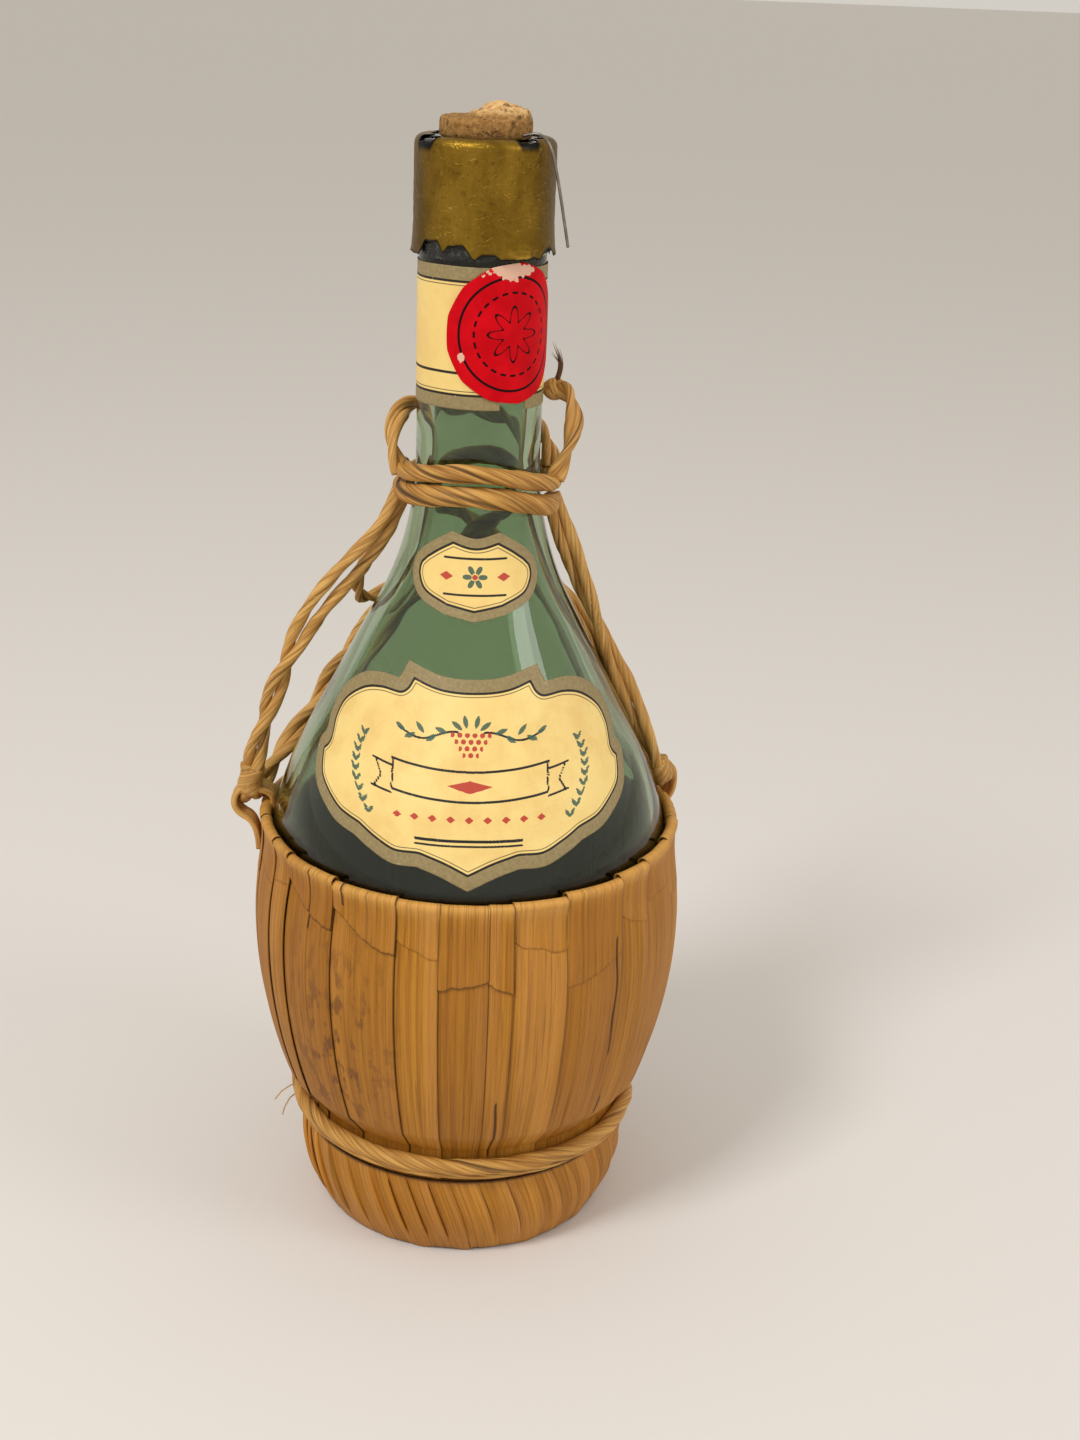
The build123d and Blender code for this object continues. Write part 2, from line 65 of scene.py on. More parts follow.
arc_middle = bulb_radius - shoulder_arc
rise = bulb_height - flask_bottom
cap_radius = (shoulder_arc**2 - arc_middle**2 - rise**2) / (2 * (shoulder_arc - rise))
cap_height = flask_bottom + cap_radius
cap_end = atan2(cap_height - bulb_height, -arc_middle)
shoulder_radius = arc_middle + shoulder_arc * cos(shoulder_slope)
shoulder_height = bulb_height + shoulder_arc * sin(shoulder_slope)
sweep_radius = neck_radius + neck_arc * (1 - cos(shoulder_slope))
sweep_height = shoulder_height + (shoulder_radius - sweep_radius) / tan(shoulder_slope)
neck_height = sweep_height + neck_arc * sin(shoulder_slope)


def glass_radius(height):
    """The flask's outer radius at a height: a cap, the bulb's long arc, a straight shoulder, an
    arc into the neck and the straight neck."""
    z = np.asarray(height, float)
    cap = np.sqrt(np.clip(cap_radius**2 - (z - cap_height) ** 2, 0, None))
    bulb = arc_middle + np.sqrt(np.clip(shoulder_arc**2 - (z - bulb_height) ** 2, 0, None))
    shoulder = shoulder_radius - (z - shoulder_height) * tan(shoulder_slope)
    below_neck = np.clip(neck_height - z, 0, neck_arc)
    sweep = neck_radius + neck_arc - np.sqrt(neck_arc**2 - below_neck**2)
    cap_top = cap_height + cap_radius * sin(cap_end)
    return np.select([z < cap_top, z < shoulder_height, z < sweep_height], [cap, bulb, shoulder], sweep)


def unit(value):
    """A value held between 0 and 1."""
    return np.clip(value, 0, 1)


def whole_turn(count):
    """Azimuths at even steps round the flask."""
    return np.linspace(0, 360, count, endpoint=False)


def together(*parts):
    """Numbers for each point, side by side in the last axis of one array."""
    return np.stack(np.broadcast_arrays(*parts), -1)


def ring_points(azimuth, radius, height):
    """Points at azimuths in degrees, radii and heights, as one array with x, y and z last."""
    angle = np.radians(azimuth)
    return together(radius * np.sin(angle), -radius * np.cos(angle), height)


def pushed(points, azimuth, distance):
    """Points moved away from the flask's axis, each by a distance of its own."""
    return points + ring_points(azimuth, 1.0, 0.0) * distance[..., None]


def roughness(points, size, seed, octaves=3):
    """Smooth seeded roughness about zero: waves in random directions, and each octave halves
    their length and their height."""
    draw = np.random.default_rng(seed)
    total = 0
    for octave in range(octaves):
        ways = draw.normal(size=(7, 3))
        ways /= np.linalg.norm(ways, axis=1, keepdims=True)
        phase = draw.uniform(0, 2 * pi, 7)
        waves = np.sin(points @ ways.T * (2 * pi * 2**octave / size) + phase)
        total = total + waves.sum(-1) / 7 * 0.5**octave
    return total


def grid(points, closed=False, poles=(False, False), **values):
    """A mesh on a grid of points: rows of columns. A closed grid joins its last column to its
    first, and a pole draws an end row into one point. Values are numbers or vectors per point."""
    first, last = poles
    rows, columns = points.shape[:2]
    kept = slice(int(first), rows - int(last))
    number = np.arange(points[kept].shape[0] * columns).reshape(-1, columns)
    count = number.size
    if closed:
        number = np.hstack([number, number[:, :1]])
    corners = [number[:-1, :-1], number[:-1, 1:], number[1:, 1:], number[1:, :-1]]
    faces = np.stack(corners, -1).reshape(-1, 4).tolist()
    ends = [end for end, wanted in zip((0, -1), poles) if wanted]
    for place, end in enumerate(ends):
        one, other = number[end, :-1], number[end, 1:]
        pole = np.full(len(one), count + place)
        faces += np.stack([pole, other, one] if end == 0 else [one, other, pole], -1).tolist()

    def gather(array):
        array = np.asarray(array, float)
        shape = (rows, columns) + array.shape[2:]
        array = np.broadcast_to(array, shape)
        body = array[kept].reshape(-1, *shape[2:])
        return np.concatenate([body, *[array[end].mean(0, keepdims=True) for end in ends]])

    return {
        "points": gather(points),
        "faces": faces,
        "values": {name: gather(value) for name, value in values.items()},
    }


def piece(name, grids, finish, body="bottle", replaces=(), skin=0.0, side=1):
    """One object made of grids, with its finish, its body and the nodes that it stands for. A thin
    sheet gets a skin, a thickness in millimetres that grows outwards, or inwards with side -1."""
    points = np.concatenate([part["points"] for part in grids]) * mm
    faces = []
    start = 0
    for part in grids:
        faces += [[corner + start for corner in face] for face in part["faces"]]
        start += len(part["points"])
    mesh = bpy.data.meshes.new(name)
    mesh.from_pydata(points.tolist(), [], faces)
    for key in grids[0]["values"]:
        data = np.concatenate([part["values"][key] for part in grids])
        vector = data.ndim > 1
        attribute = mesh.attributes.new(key, "FLOAT_VECTOR" if vector else "FLOAT", "POINT")
        attribute.data.foreach_set("vector" if vector else "value", data.astype(np.float32).ravel())
    mesh.polygons.foreach_set("use_smooth", np.ones(len(mesh.polygons), bool))
    mesh.materials.append(finish.material)
    mesh.update()
    made = bpy.data.objects.new(name, mesh)
    bpy.context.scene.collection.objects.link(made)
    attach(made, body)
    if replaces:
        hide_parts(*replaces)
    if skin:
        sheet = made.modifiers.new("thickness", "SOLIDIFY")
        sheet.thickness = skin * mm
        sheet.offset = side
    return made


def screen(red, green, blue):
    """A colour in the 0 to 255 steps of a screen, as a linear colour."""
    share = np.array([red, green, blue]) / 255
    linear = np.where(share > 0.04045, ((share + 0.055) / 1.055) ** 2.4, share / 12.92)
    return (*(float(part) for part in linear), 1.0)


class Signal:
    """A node's output in a sum: each operator adds one Math node."""

    def __init__(self, finish, socket):
        self.finish = finish
        self.socket = socket

    def math(self, operation, *others):
        sockets = dict(enumerate((self, *others)))
        return self.finish.node("ShaderNodeMath", sockets, operation=operation)

    def __add__(self, other):
        return self.math("ADD", other)

    def __sub__(self, other):
        return self.math("SUBTRACT", other)

    def __rsub__(self, other):
        return (self * -1) + other

    def __mul__(self, other):
        return self.math("MULTIPLY", other)

    def above(self, low, high):
        """0 up to low and 1 from high on, smooth between."""
        settings = {"interpolation_type": "SMOOTHSTEP"}
        return self.finish.node("ShaderNodeMapRange", {0: self, 1: low, 2: high}, **settings)


class Finish:
    """A material: plain values on its shader's sockets, and signals for what changes over it."""

    def __init__(self, name, **plain):
        self.material = bpy.data.materials.new(name)
        self.material.use_nodes = True
        self.tree = self.material.node_tree
        self.shader = self.tree.nodes["Principled BSDF"]
        for words, value in plain.items():
            self.shader.inputs[words.replace("_", " ")].default_value = value

    def node(self, kind, sockets=(), output=0, **settings):
        """Any node: its settings first, then the values and links of its sockets."""
        made = self.tree.nodes.new(kind)
        for name, value in settings.items():
            setattr(made, name, value)
        for place, value in dict(sockets).items():
            if isinstance(value, Signal):
                self.tree.links.new(value.socket, made.inputs[place])
            else:
                made.inputs[place].default_value = value
        return Signal(self, made.outputs[output])

    def place(self, scale=(1, 1, 1)):
        """Object coordinates in millimetres, stretched by a scale."""
        where = self.node("ShaderNodeTexCoord", output="Object")
        factor = tuple(1000 * part for part in scale)
        return self.node("ShaderNodeVectorMath", {0: where, 1: factor}, operation="MULTIPLY")

    def value(self, name, scale=None):
        """A number that the mesh carries or, with a scale, its vector, stretched."""
        if scale is None:
            return self.node("ShaderNodeAttribute", output="Fac", attribute_name=name)
        where = self.node("ShaderNodeAttribute", output="Vector", attribute_name=name)
        return self.node("ShaderNodeVectorMath", {0: where, 1: scale}, operation="MULTIPLY")

    def noise(self, scale, detail=3.0, rough=0.5, distortion=0.0, where=None):
        """Noise over the piece's own place, in millimetres, or over another vector."""
        where = self.place() if where is None else where
        sockets = {"Vector": where, "Scale": scale, "Detail": detail, "Roughness": rough}
        return self.node("ShaderNodeTexNoise", {**sockets, "Distortion": distortion})

    def fibres(self, across, along, detail, rough):
        """Noise over the mesh's grain: how fast it changes across the fibres and along them."""
        return self.noise(1.0, detail, rough, where=self.value("grain", (across, along, 1.0)))

    def mix(self, share, one, other):
        """One colour at share 0 and the other at share 1."""
        return self.node("ShaderNodeMix", {0: share, 6: one, 7: other}, output=2, data_type="RGBA")

    def bump(self, height, strength, distance):
        """A bump of a height signal, its distance in millimetres."""
        sockets = {"Height": height, "Strength": strength, "Distance": distance * mm}
        self.feed("Normal", self.node("ShaderNodeBump", sockets))

    def feed(self, socket, signal):
        self.tree.links.new(signal.socket, self.shader.inputs[socket])


glass = Finish(
    "bottle_green_glass",
    Base_Color=(0.42, 0.55, 0.37, 1),
    Roughness=0.02,
    IOR=1.5,
    Transmission_Weight=1.0,
)

cap_angles = np.linspace(-pi / 2, cap_end, 40)
bulb_angles = np.linspace(cap_end, shoulder_slope, 76)[1:]
sweep_heights = np.linspace(shoulder_height, lip_low - lip_round, 120)[1:]
outer = np.concatenate([
    np.stack([cap_radius * np.cos(cap_angles), cap_height + cap_radius * np.sin(cap_angles)], -1),
    np.stack([arc_middle + shoulder_arc * np.cos(bulb_angles),
              bulb_height + shoulder_arc * np.sin(bulb_angles)], -1),
    np.stack([glass_radius(sweep_heights), sweep_heights], -1),
])
along = np.gradient(outer, axis=0)
along /= np.linalg.norm(along, axis=1, keepdims=True)
thickness = np.interp(outer[:, 1], wall_heights, wall_thicknesses)[:, None]
inner = outer - thickness * np.stack([along[:, 1], -along[:, 0]], -1)
inner[0, 0] = 0
mouth_bore = lip_radius - wall_thicknesses[-1] - 1
turns = np.linspace(0, pi / 2, 6)
lip = np.concatenate([
    [(lip_radius, lip_low)],
    np.stack([lip_radius - lip_round + lip_round * np.cos(turns),
              mouth_height - lip_round + lip_round * np.sin(turns)], -1),
    [(mouth_bore + 1, mouth_height), (mouth_bore, mouth_height - 1), (mouth_bore, lip_low)],
])
section = np.concatenate([outer, lip, inner[::-1]])
is_inner = np.arange(len(section)) >= len(outer) + len(lip)
azimuths = whole_turn(160)
flask_points = ring_points(azimuths, section[:, :1], section[:, 1:])
depth = np.where(is_inner, inner_waves, outer_waves)[:, None] * unit(section[:, :1] / 12)
flask_points = pushed(flask_points, azimuths, depth * roughness(flask_points, wave_length, 4, 2))
piece("flask_glass", [grid(flask_points, True, (True, True))], glass, replaces=["glass_flask"])


# The cork: its shank fills the bore, its head sprang wider above it when it dried, and a lump of
# crumbled cork stands on it. It is the piece that moves.
cork_head = 10.8
cork_shank = 9.3
cork_bottom = 245.75
cork_seat = 277.75
cork_top = 282.35
lump_height = 3.6
lump_right, lump_front = 3.6, 1.2
lump_wide, lump_deep = 6.4, 6.0

cork = Finish("aged_cork", Roughness=0.85, Specular_IOR_Level=0.3)
grains = cork.noise(0.9, 6, 0.65)
pits = cork.noise(0.42, 3, 0.6)
crumb = cork.value("crumb")
side = cork.mix(grains.above(0.35, 0.65), screen(132, 94, 46), screen(174, 130, 72))
fresh = cork.mix(grains.above(0.35, 0.62), screen(188, 138, 80), screen(226, 188, 130))
tone = cork.mix(crumb, side, fresh)
dark_pits = pits.above(0.58, 0.68)
cork.feed("Base Color", cork.mix(dark_pits * 0.75, tone, screen(84, 56, 38)))
cork.bump(grains - dark_pits, 0.7, 0.5)

turned = np.array([
    (0.0, cork_bottom), (cork_shank - 0.7, cork_bottom), (cork_shank, cork_bottom + 0.7),
    (cork_shank, 256.0), (cork_shank, 268.0), (cork_shank, cork_seat),
    (cork_head - 0.4, cork_seat), (cork_head, cork_seat + 0.5), (cork_head, 279.5),
    (cork_head, 281.0), (cork_head - 0.15, cork_top - 0.5), (cork_head - 0.7, cork_top),
])
disc = np.stack([np.linspace(cork_head - 1.0, 0, 26), np.full(26, cork_top)], -1)
section = np.concatenate([turned, disc])
azimuths = whole_turn(96)
cork_points = ring_points(azimuths, section[:, :1], section[:, 1:])
x, y = cork_points[..., 0], cork_points[..., 1]
reach = np.hypot((x - lump_right) / lump_wide, (y + lump_front) / lump_deep)
on_top = (np.arange(len(section)) >= len(turned) - 1)[:, None]
lump = unit(1.15 - reach + 0.22 * roughness(cork_points, 5.0, 8)) ** 0.6
cork_points[..., 2] += np.where(on_top, lump * lump_height, 0)
worn = np.where(on_top, 0.35, 0.12) * roughness(cork_points, 2.6, 3)
above_seat = (section[:, 1] > cork_seat + 0.1)[:, None]
cork_points[..., 2] += np.where(on_top, worn, 0)
cork_points = pushed(cork_points, azimuths, np.where(above_seat & ~on_top, worn, 0))
crumbs = np.where(on_top, unit(lump * 2), 0.0)
piece("cork", [grid(cork_points, True, (True, True), crumb=crumbs)], cork, "cork",
      ["cork_stopper"])


# The capsule: olive-gold foil pressed over the lip. It is torn open round the cork, has holes at
# its shoulder, and its lower edge is torn off in front, where black lining paper shows.
foil_radius = 16.35
foil_top = 278.0
foil_low = 251.6
foil_turn = 1.9
foil_thickness = 0.2
lining_thickness = 0.12

foil = Finish("tarnished_foil", Metallic=0.95)
smears = foil.noise(0.16, 5, 0.6, 0.6, where=foil.place((1, 1, 0.45)))
specks = foil.noise(0.8, 4, 0.6)
crease = foil.noise(0.1, 1, 0.4, 2.6)
gold = foil.mix(smears.above(0.3, 0.7), screen(122, 93, 26), screen(146, 114, 38))
tarnish_and_side_shade = foil.mix(specks.above(0.56, 0.7) * 0.5, gold, screen(78, 60, 24))
# Painted shade: the capsule's left and right sides, as seen from the front, are darkened towards a deeper
# olive.
sideways = foil.node("ShaderNodeSeparateXYZ", {0: foil.place()}).math("ABSOLUTE")
tarnish_and_side_shade = foil.mix(sideways.above(10.5, 16.5) * 0.5, tarnish_and_side_shade, screen(70, 54, 18))
scratches = foil.noise(0.22, 2, 0.4, 1.2, where=foil.place((0.6, 0.6, 2.2)))
scratch = 1 - (scratches - 0.5).math("ABSOLUTE").above(0.0, 0.006)
tarnish_and_side_shade = foil.mix(scratch * 0.5, tarnish_and_side_shade, screen(188, 160, 84))
edge = foil.value("edge")
foil.feed("Base Color", foil.mix(edge.above(0.35, 0.9), tarnish_and_side_shade, screen(28, 27, 24)))
foil.feed("Roughness", smears * 0.25 + 0.3)
ridge = (crease - 0.5).math("ABSOLUTE").above(0.0, 0.012)
foil.bump(ridge * 0.6 + specks * 0.35 + smears, 0.35, 0.35)


def ragged(azimuth, bites, seed, depth):
    """How far an edge is torn back at each azimuth: broad bites, given as centre, half width and
    depth, with fine rags of another depth along them."""
    total = np.zeros_like(azimuth)
    for centre, half, bite in bites:
        away = np.abs((azimuth - centre + 180) % 360 - 180) / half
        total = np.maximum(total, bite * unit(1.3 - away**2))
    rags = roughness(ring_points(azimuth, 16.0, 0.0), 5.0, seed, 4)
    return np.clip(total + depth * np.clip(rags + 0.25, 0, None), 0, None)


azimuths = whole_turn(288)
low_tear = ragged(azimuths, ((-46, 13, 3.4), (-22, 12, 2.6), (4, 9, 1.2), (66, 12, 1.6), (150, 25, 2.0)),
                  11, 0.5)
top_tear = ragged(azimuths, ((-58, 15, 4.4), (38, 14, 3.6), (66, 10, 2.4), (140, 22, 3.0), (230, 16, 2.6)),
                  12, 0.7)
sleeve = foil_top - foil_turn - foil_low
whole = sleeve + foil_turn * pi / 2 + 2.3
share = np.linspace(0, 1, 84)[:, None]
run = low_tear + share * (whole - low_tear - top_tear)
angle = np.clip((run - sleeve) / foil_turn, 0, pi / 2)
flat = np.clip(run - sleeve - foil_turn * pi / 2, 0, None)
radius = foil_radius - foil_turn * (1 - np.cos(angle)) - flat
height = foil_low + np.minimum(run, sleeve) + foil_turn * np.sin(angle)
flare = 0.5 * unit(1 - run / 9) ** 2
foil_points = ring_points(azimuths, radius + flare, height)
dents = 0.14 * roughness(foil_points, 13.0, 5, 4) + 0.05 * roughness(foil_points, 2.5, 6, 2)
from_top = whole - top_tear - run
near_end = np.exp(-(run - low_tear) / 0.8) + np.exp(-from_top / 0.7)
torn_tone = unit(top_tear / 3.5) * np.exp(-((from_top / 2.6) ** 2))
curl = 0.35 * near_end * roughness(foil_points, 4.0, 7, 2)
foil_points = pushed(foil_points, azimuths, dents + curl)
piece("capsule_foil", [grid(foil_points, True, edge=np.maximum(near_end, torn_tone))], foil,
      replaces=["foil_capsule"], skin=foil_thickness)

lining = Finish("black_lining", Roughness=0.45)
lumps = lining.noise(0.9, 4, 0.6)
lining.feed("Base Color", lining.mix(lumps.above(0.5, 0.72), screen(16, 18, 17), screen(74, 76, 70)))
lining.bump(lumps, 0.8, 0.6)
lining_drop = ragged(azimuths, ((-30, 30, 1.0),), 15, 0.9)
share = np.linspace(0, 1, 22)[:, None]
height = foil_low + 0.9 - lining_drop + share * (7.5 + lining_drop)
lining_points = ring_points(azimuths, neck_radius + 0.45 + 0.35 * share, height)
lining_points = pushed(lining_points, azimuths, 0.22 * roughness(lining_points, 2.8, 9))
piece("capsule_lining", [grid(lining_points, True)], lining, skin=lining_thickness)


# The wire: a thin dull wire that is caught under the cork's head, bends over the capsule's edge and
# hangs down beside it.
wire_radius = 0.36
wire_route = (
    (8.3, -8.6, 278.75), (10.6, -9.6, 279.6), (12.9, -10.3, 279.3), (15.0, -10.6, 276.6),
    (16.6, -10.4, 270.0), (18.1, -9.7, 262.4), (19.6, -8.6, 254.4),
)


def spline_line(route, step):
    """Evenly spaced points along the NURBS spline of a route."""
    curve = bpy.data.curves.new("route", "CURVE")
    curve.dimensions = "3D"
    curve.resolution_u = 24
    spline = curve.splines.new("NURBS")
    spline.points.add(len(route) - 1)
    spline.points.foreach_set("co", np.array([(*point, 1.0) for point in route]).ravel())
    spline.order_u = 3
    spline.use_endpoint_u = True
    holder = bpy.data.objects.new("route", curve)
    mesh = bpy.data.meshes.new_from_object(holder)
    read = np.empty(3 * len(mesh.vertices))
    mesh.vertices.foreach_get("co", read)
    read = read.reshape(-1, 3)
    bpy.data.objects.remove(holder)
    bpy.data.curves.remove(curve)
    bpy.data.meshes.remove(mesh)
    way = np.concatenate([[0], np.cumsum(np.linalg.norm(np.diff(read, axis=0), axis=1))])
    even = np.linspace(0, way[-1], int(way[-1] / step) + 2)
    return np.stack([np.interp(even, way, read[:, k]) for k in range(3)], -1)


def run_along(line):
    """The distance along a line at each of its points."""
    return np.concatenate([[0], np.cumsum(np.linalg.norm(np.diff(line, axis=0), axis=1))])


def frames(line, towards):
    """Two unit vectors square to a line at each point, the first as near as it can be to a way."""
    tangent = np.gradient(line, axis=0)
    tangent /= np.linalg.norm(tangent, axis=1, keepdims=True)
    first = towards - (towards * tangent).sum(-1, keepdims=True) * tangent
    first /= np.linalg.norm(first, axis=1, keepdims=True)
    return first, np.cross(tangent, first)


def from_axis(line):
    """The way from the flask's axis to each point."""
    return line * (1, 1, 0)


def tube(line, radius, columns=12, towards=None, twist=0.0, folds=0, depth=0.0, flatness=0.0, seed=0,
         dark_start=0.0):
    """A tube round a line. Its folds are grooves that wind round it, a twist of turns per
    millimetre, and its grain follows them. Flatness makes it an oval that winds with them, and a
    dark start shades its cut end."""
    way = run_along(line)[:, None]
    first, second = frames(line, from_axis(line) if towards is None else towards)
    around = np.linspace(0, 2 * pi, columns, endpoint=False)[None, :]
    winding = around - 2 * pi * twist * way
    radius = np.asarray(radius, float).reshape(-1, 1)
    draw = np.random.default_rng(seed)
    groove = np.zeros_like(winding)
    for fold in range(folds):
        place = 2 * pi * (fold + draw.uniform(-0.3, 0.3)) / folds
        sway = 0.35 * np.sin(way / draw.uniform(4, 11) + draw.uniform(0, 6))
        width = draw.uniform(0.16, 0.34)
        fade = 0.55 + 0.45 * np.sin(way / draw.uniform(6, 16) + draw.uniform(0, 6))
        gap = (winding - place - sway + pi) % (2 * pi) - pi
        groove = np.maximum(groove, fade * draw.uniform(0.6, 1.0) * np.exp(-(gap / width) ** 2))
    swell = 1 + flatness * np.cos(2 * winding) - depth * groove
    # The edge value carries the grooves' depth, which the grass finish paints as shade, and the dark start at
    # the cut end.
    groove = np.maximum(groove, dark_start * np.exp(-way / 0.9))
    centre = line[:, None, :]
    ring = np.cos(around)[..., None] * first[:, None, :] + np.sin(around)[..., None] * second[:, None, :]
    rough = 1 + 0.05 * (folds > 0) * roughness(centre + ring * radius[..., None], 5.0, seed + 50, 2)
    points = centre + ring * (radius * swell * rough)[..., None]
    grain = together(radius * np.cos(winding), radius * np.sin(winding), way + 90.0 * seed)
    ends = [np.repeat(line[end][None, None, :], columns, 1) for end in (0, -1)]
    points = np.concatenate([ends[0], points, ends[1]])
    grain = np.concatenate([grain[:1], grain, grain[-1:]])
    groove = np.concatenate([groove[:1], groove, groove[-1:]])
    return grid(points, True, (True, True), grain=grain, edge=groove)


wire = Finish("dull_wire", Metallic=0.9, Roughness=0.4)
tarnish = wire.noise(0.5, 3)
wire.feed("Base Color", wire.mix(tarnish, screen(84, 76, 66), screen(168, 160, 150)))
wire_tube = tube(spline_line(wire_route, 0.5), wire_radius, 10)
piece("capsule_wire_bent", [wire_tube], wire, replaces=["capsule_wire"])


# The papers: a band round the neck, a round red seal over its ends, and two cartouche labels. They
# are cream paper with a gold-grey edge and black lines, pasted on the glass, aged and scuffed.
paper_lift = 0.16
seal_lift = 0.5
label_thickness = 0.1
band_thickness = 0.08
seal_thickness = 0.12


def paper_finish(name, field, scuffs, border_width):
    """Printed paper: the mesh carries how far each place is from the edge, and how much black, red
    and green ink lies on it. Its border is bare gold-grey, then come a thick and a thin line."""
    paper = Finish(name, Roughness=0.55, Specular_IOR_Level=0.4)
    inset = paper.value("inset")
    mottle = paper.noise(0.09, 4, 0.6)
    flecks = paper.noise(1.3, 3, 0.6)
    cream = paper.mix(mottle.above(0.35, 0.7), field, screen(236, 200, 122))
    rim_tone = paper.mix(flecks.above(0.3, 0.7), screen(140, 122, 82), screen(156, 138, 96))
    within = inset.above(border_width, border_width + 0.12)
    base = paper.mix(within, rim_tone, cream)
    thick = inset.above(border_width, border_width + 0.14)
    thick_end = inset.above(border_width + 0.62, border_width + 0.76)
    thin = inset.above(border_width + 1.1, border_width + 1.2)
    thin_end = inset.above(border_width + 1.34, border_width + 1.44)
    black = (thick - thick_end) + (thin - thin_end) * 0.8
    ink = black.math("MAXIMUM", paper.value("black").above(0.35, 0.65))
    worn = flecks.above(0.62, 0.78) * 0.35
    printed = paper.mix(ink - worn * ink, base, screen(24, 22, 20))
    printed = paper.mix(paper.value("red").above(0.35, 0.65) * 0.92, printed, screen(184, 26, 34))
    printed = paper.mix(paper.value("green").above(0.35, 0.65) * 0.92, printed, screen(44, 88, 76))
    scuff = flecks.above(scuffs, scuffs + 0.1)
    rubbed = scuff * (1 - inset.above(0.2, 1.6)) + paper.value("scuff").above(0.5, 0.8)
    paper.feed("Base Color", paper.mix(rubbed * 0.8, printed, screen(214, 200, 170)))
    paper.feed("Roughness", mottle * 0.25 + 0.4)
    creases = paper.noise(0.22, 2, 0.4, where=paper.place((1, 1, 0.12)))
    crease = 1 - (creases - 0.5).math("ABSOLUTE").above(0.0, 0.016)
    paper.bump(mottle * 0.6 + flecks * 0.3 + crease * 0.5, 0.3, 0.3)
    return paper


def smooth_outline(corners, cusps, samples):
    """A closed outline through corners, smooth between the cusps: a Catmull-Rom curve over each
    stretch, taken at even distances."""
    points = np.array(corners, float)
    count = len(points)
    out = []
    marks = sorted(cusps)
    for start, stop in zip(marks, marks[1:] + [marks[0] + count]):
        stretch = points[np.arange(start, stop + 1) % count]
        padded = np.concatenate([[2 * stretch[0] - stretch[1]], stretch, [2 * stretch[-1] - stretch[-2]]])
        for a, b, c, d in zip(padded, padded[1:], padded[2:], padded[3:]):
            t = np.linspace(0, 1, 16, endpoint=False)[:, None]
            curve = 2 * b + (c - a) * t + (2 * a - 5 * b + 4 * c - d) * t**2 + (3 * b - a - 3 * c + d) * t**3
            out.append(curve / 2)
    dense = np.concatenate(out)
    loop = np.vstack([dense, dense[:1]])
    way = run_along(loop)
    even = np.linspace(0, way[-1], samples, endpoint=False)
    return np.stack([np.interp(even, way, loop[:, k]) for k in range(2)], -1)


def edge_distance(places):
    """How far each flat place is from the outline, which is the first row of places: the least
    distance to its sides."""
    flat = places.reshape(-1, 2)
    starts = places[0]
    sides = np.roll(starts, -1, 0) - starts
    least = np.full(len(flat), 1e9)
    for start, side in zip(starts, sides):
        share = unit(((flat - start) @ side) / (side @ side))
        least = np.minimum(least, np.hypot(*(flat - start - share[:, None] * side).T))
    return least.reshape(places.shape[:2])


def label(name, outline, centre, rows, finish, node, printing):
    """A paper laid on the glass: rings of points run from its edge to its centre. The outline of
    (across, height) is as seen from the front, and is carried round the glass to its own length."""
    reach = glass_radius(outline[:, 1]) + paper_lift
    outline = np.stack([reach * np.arcsin(outline[:, 0] / reach), outline[:, 1]], -1)
    share = np.linspace(1, 0, rows)[:, None, None]
    flat = centre + share * (outline[None] - centre)
    across, height = flat[..., 0], flat[..., 1]
    radius = glass_radius(height) + paper_lift
    levels = np.arange(100.0, 261.0)
    steep = 1 / np.cos(np.arctan(np.gradient(glass_radius(levels))))
    climb = np.concatenate([[0], np.cumsum(steep)[:-1]])
    level = np.interp(height, levels, climb)
    inset = edge_distance(together(across, level))
    azimuth = np.degrees(across / radius)
    points = ring_points(azimuth, radius, height)
    points = pushed(points, azimuth, 0.1 * roughness(points, 9.0, 21, 2) * unit(inset / 3))
    inks = printing(across, level - np.interp(centre[1], levels, climb))
    made = grid(points, True, (False, True), inset=inset, **inks)
    piece(name, [made], finish, replaces=[node], skin=label_thickness)


def stroke(distance, width):
    """Ink of a line: 1 on it, 0 half a millimetre off it."""
    return unit(1 - (np.abs(distance) - width / 2) / 0.25)


def mirrored(shares):
    """A closed outline from its right half, as shares of its width and height."""
    right = np.array(shares)
    left = right[1:-1][::-1] * (-1, 1)
    return np.concatenate([right, left])


vintage_outline = mirrored((
    (0.0, 0.0), (0.25, 0.07), (0.44, 0.21), (0.5, 0.42), (0.48, 0.63),
    (0.42, 0.76), (0.32, 0.88), (0.19, 1.0), (0.0, 0.93),
))
main_outline = mirrored((
    (0.0, 0.0), (0.09, 0.065), (0.16, 0.1), (0.24, 0.1), (0.31, 0.145), (0.36, 0.19), (0.42, 0.22),
    (0.46, 0.27), (0.49, 0.33), (0.5, 0.39), (0.495, 0.48), (0.485, 0.53), (0.468, 0.565), (0.45, 0.67),
    (0.41, 0.79), (0.35, 0.88), (0.29, 0.915), (0.23, 0.915), (0.2, 1.0), (0.1, 0.955), (0.0, 0.945),
))


def blade(across, up, angle, length, width):
    """Ink of a pointed leaf about the origin, turned by an angle from upright."""
    along = across * sin(angle) + up * cos(angle)
    off = across * cos(angle) - up * sin(angle)
    return unit((width * (1 - (along / length) ** 2) - np.abs(off)) / 0.2 + 0.5)


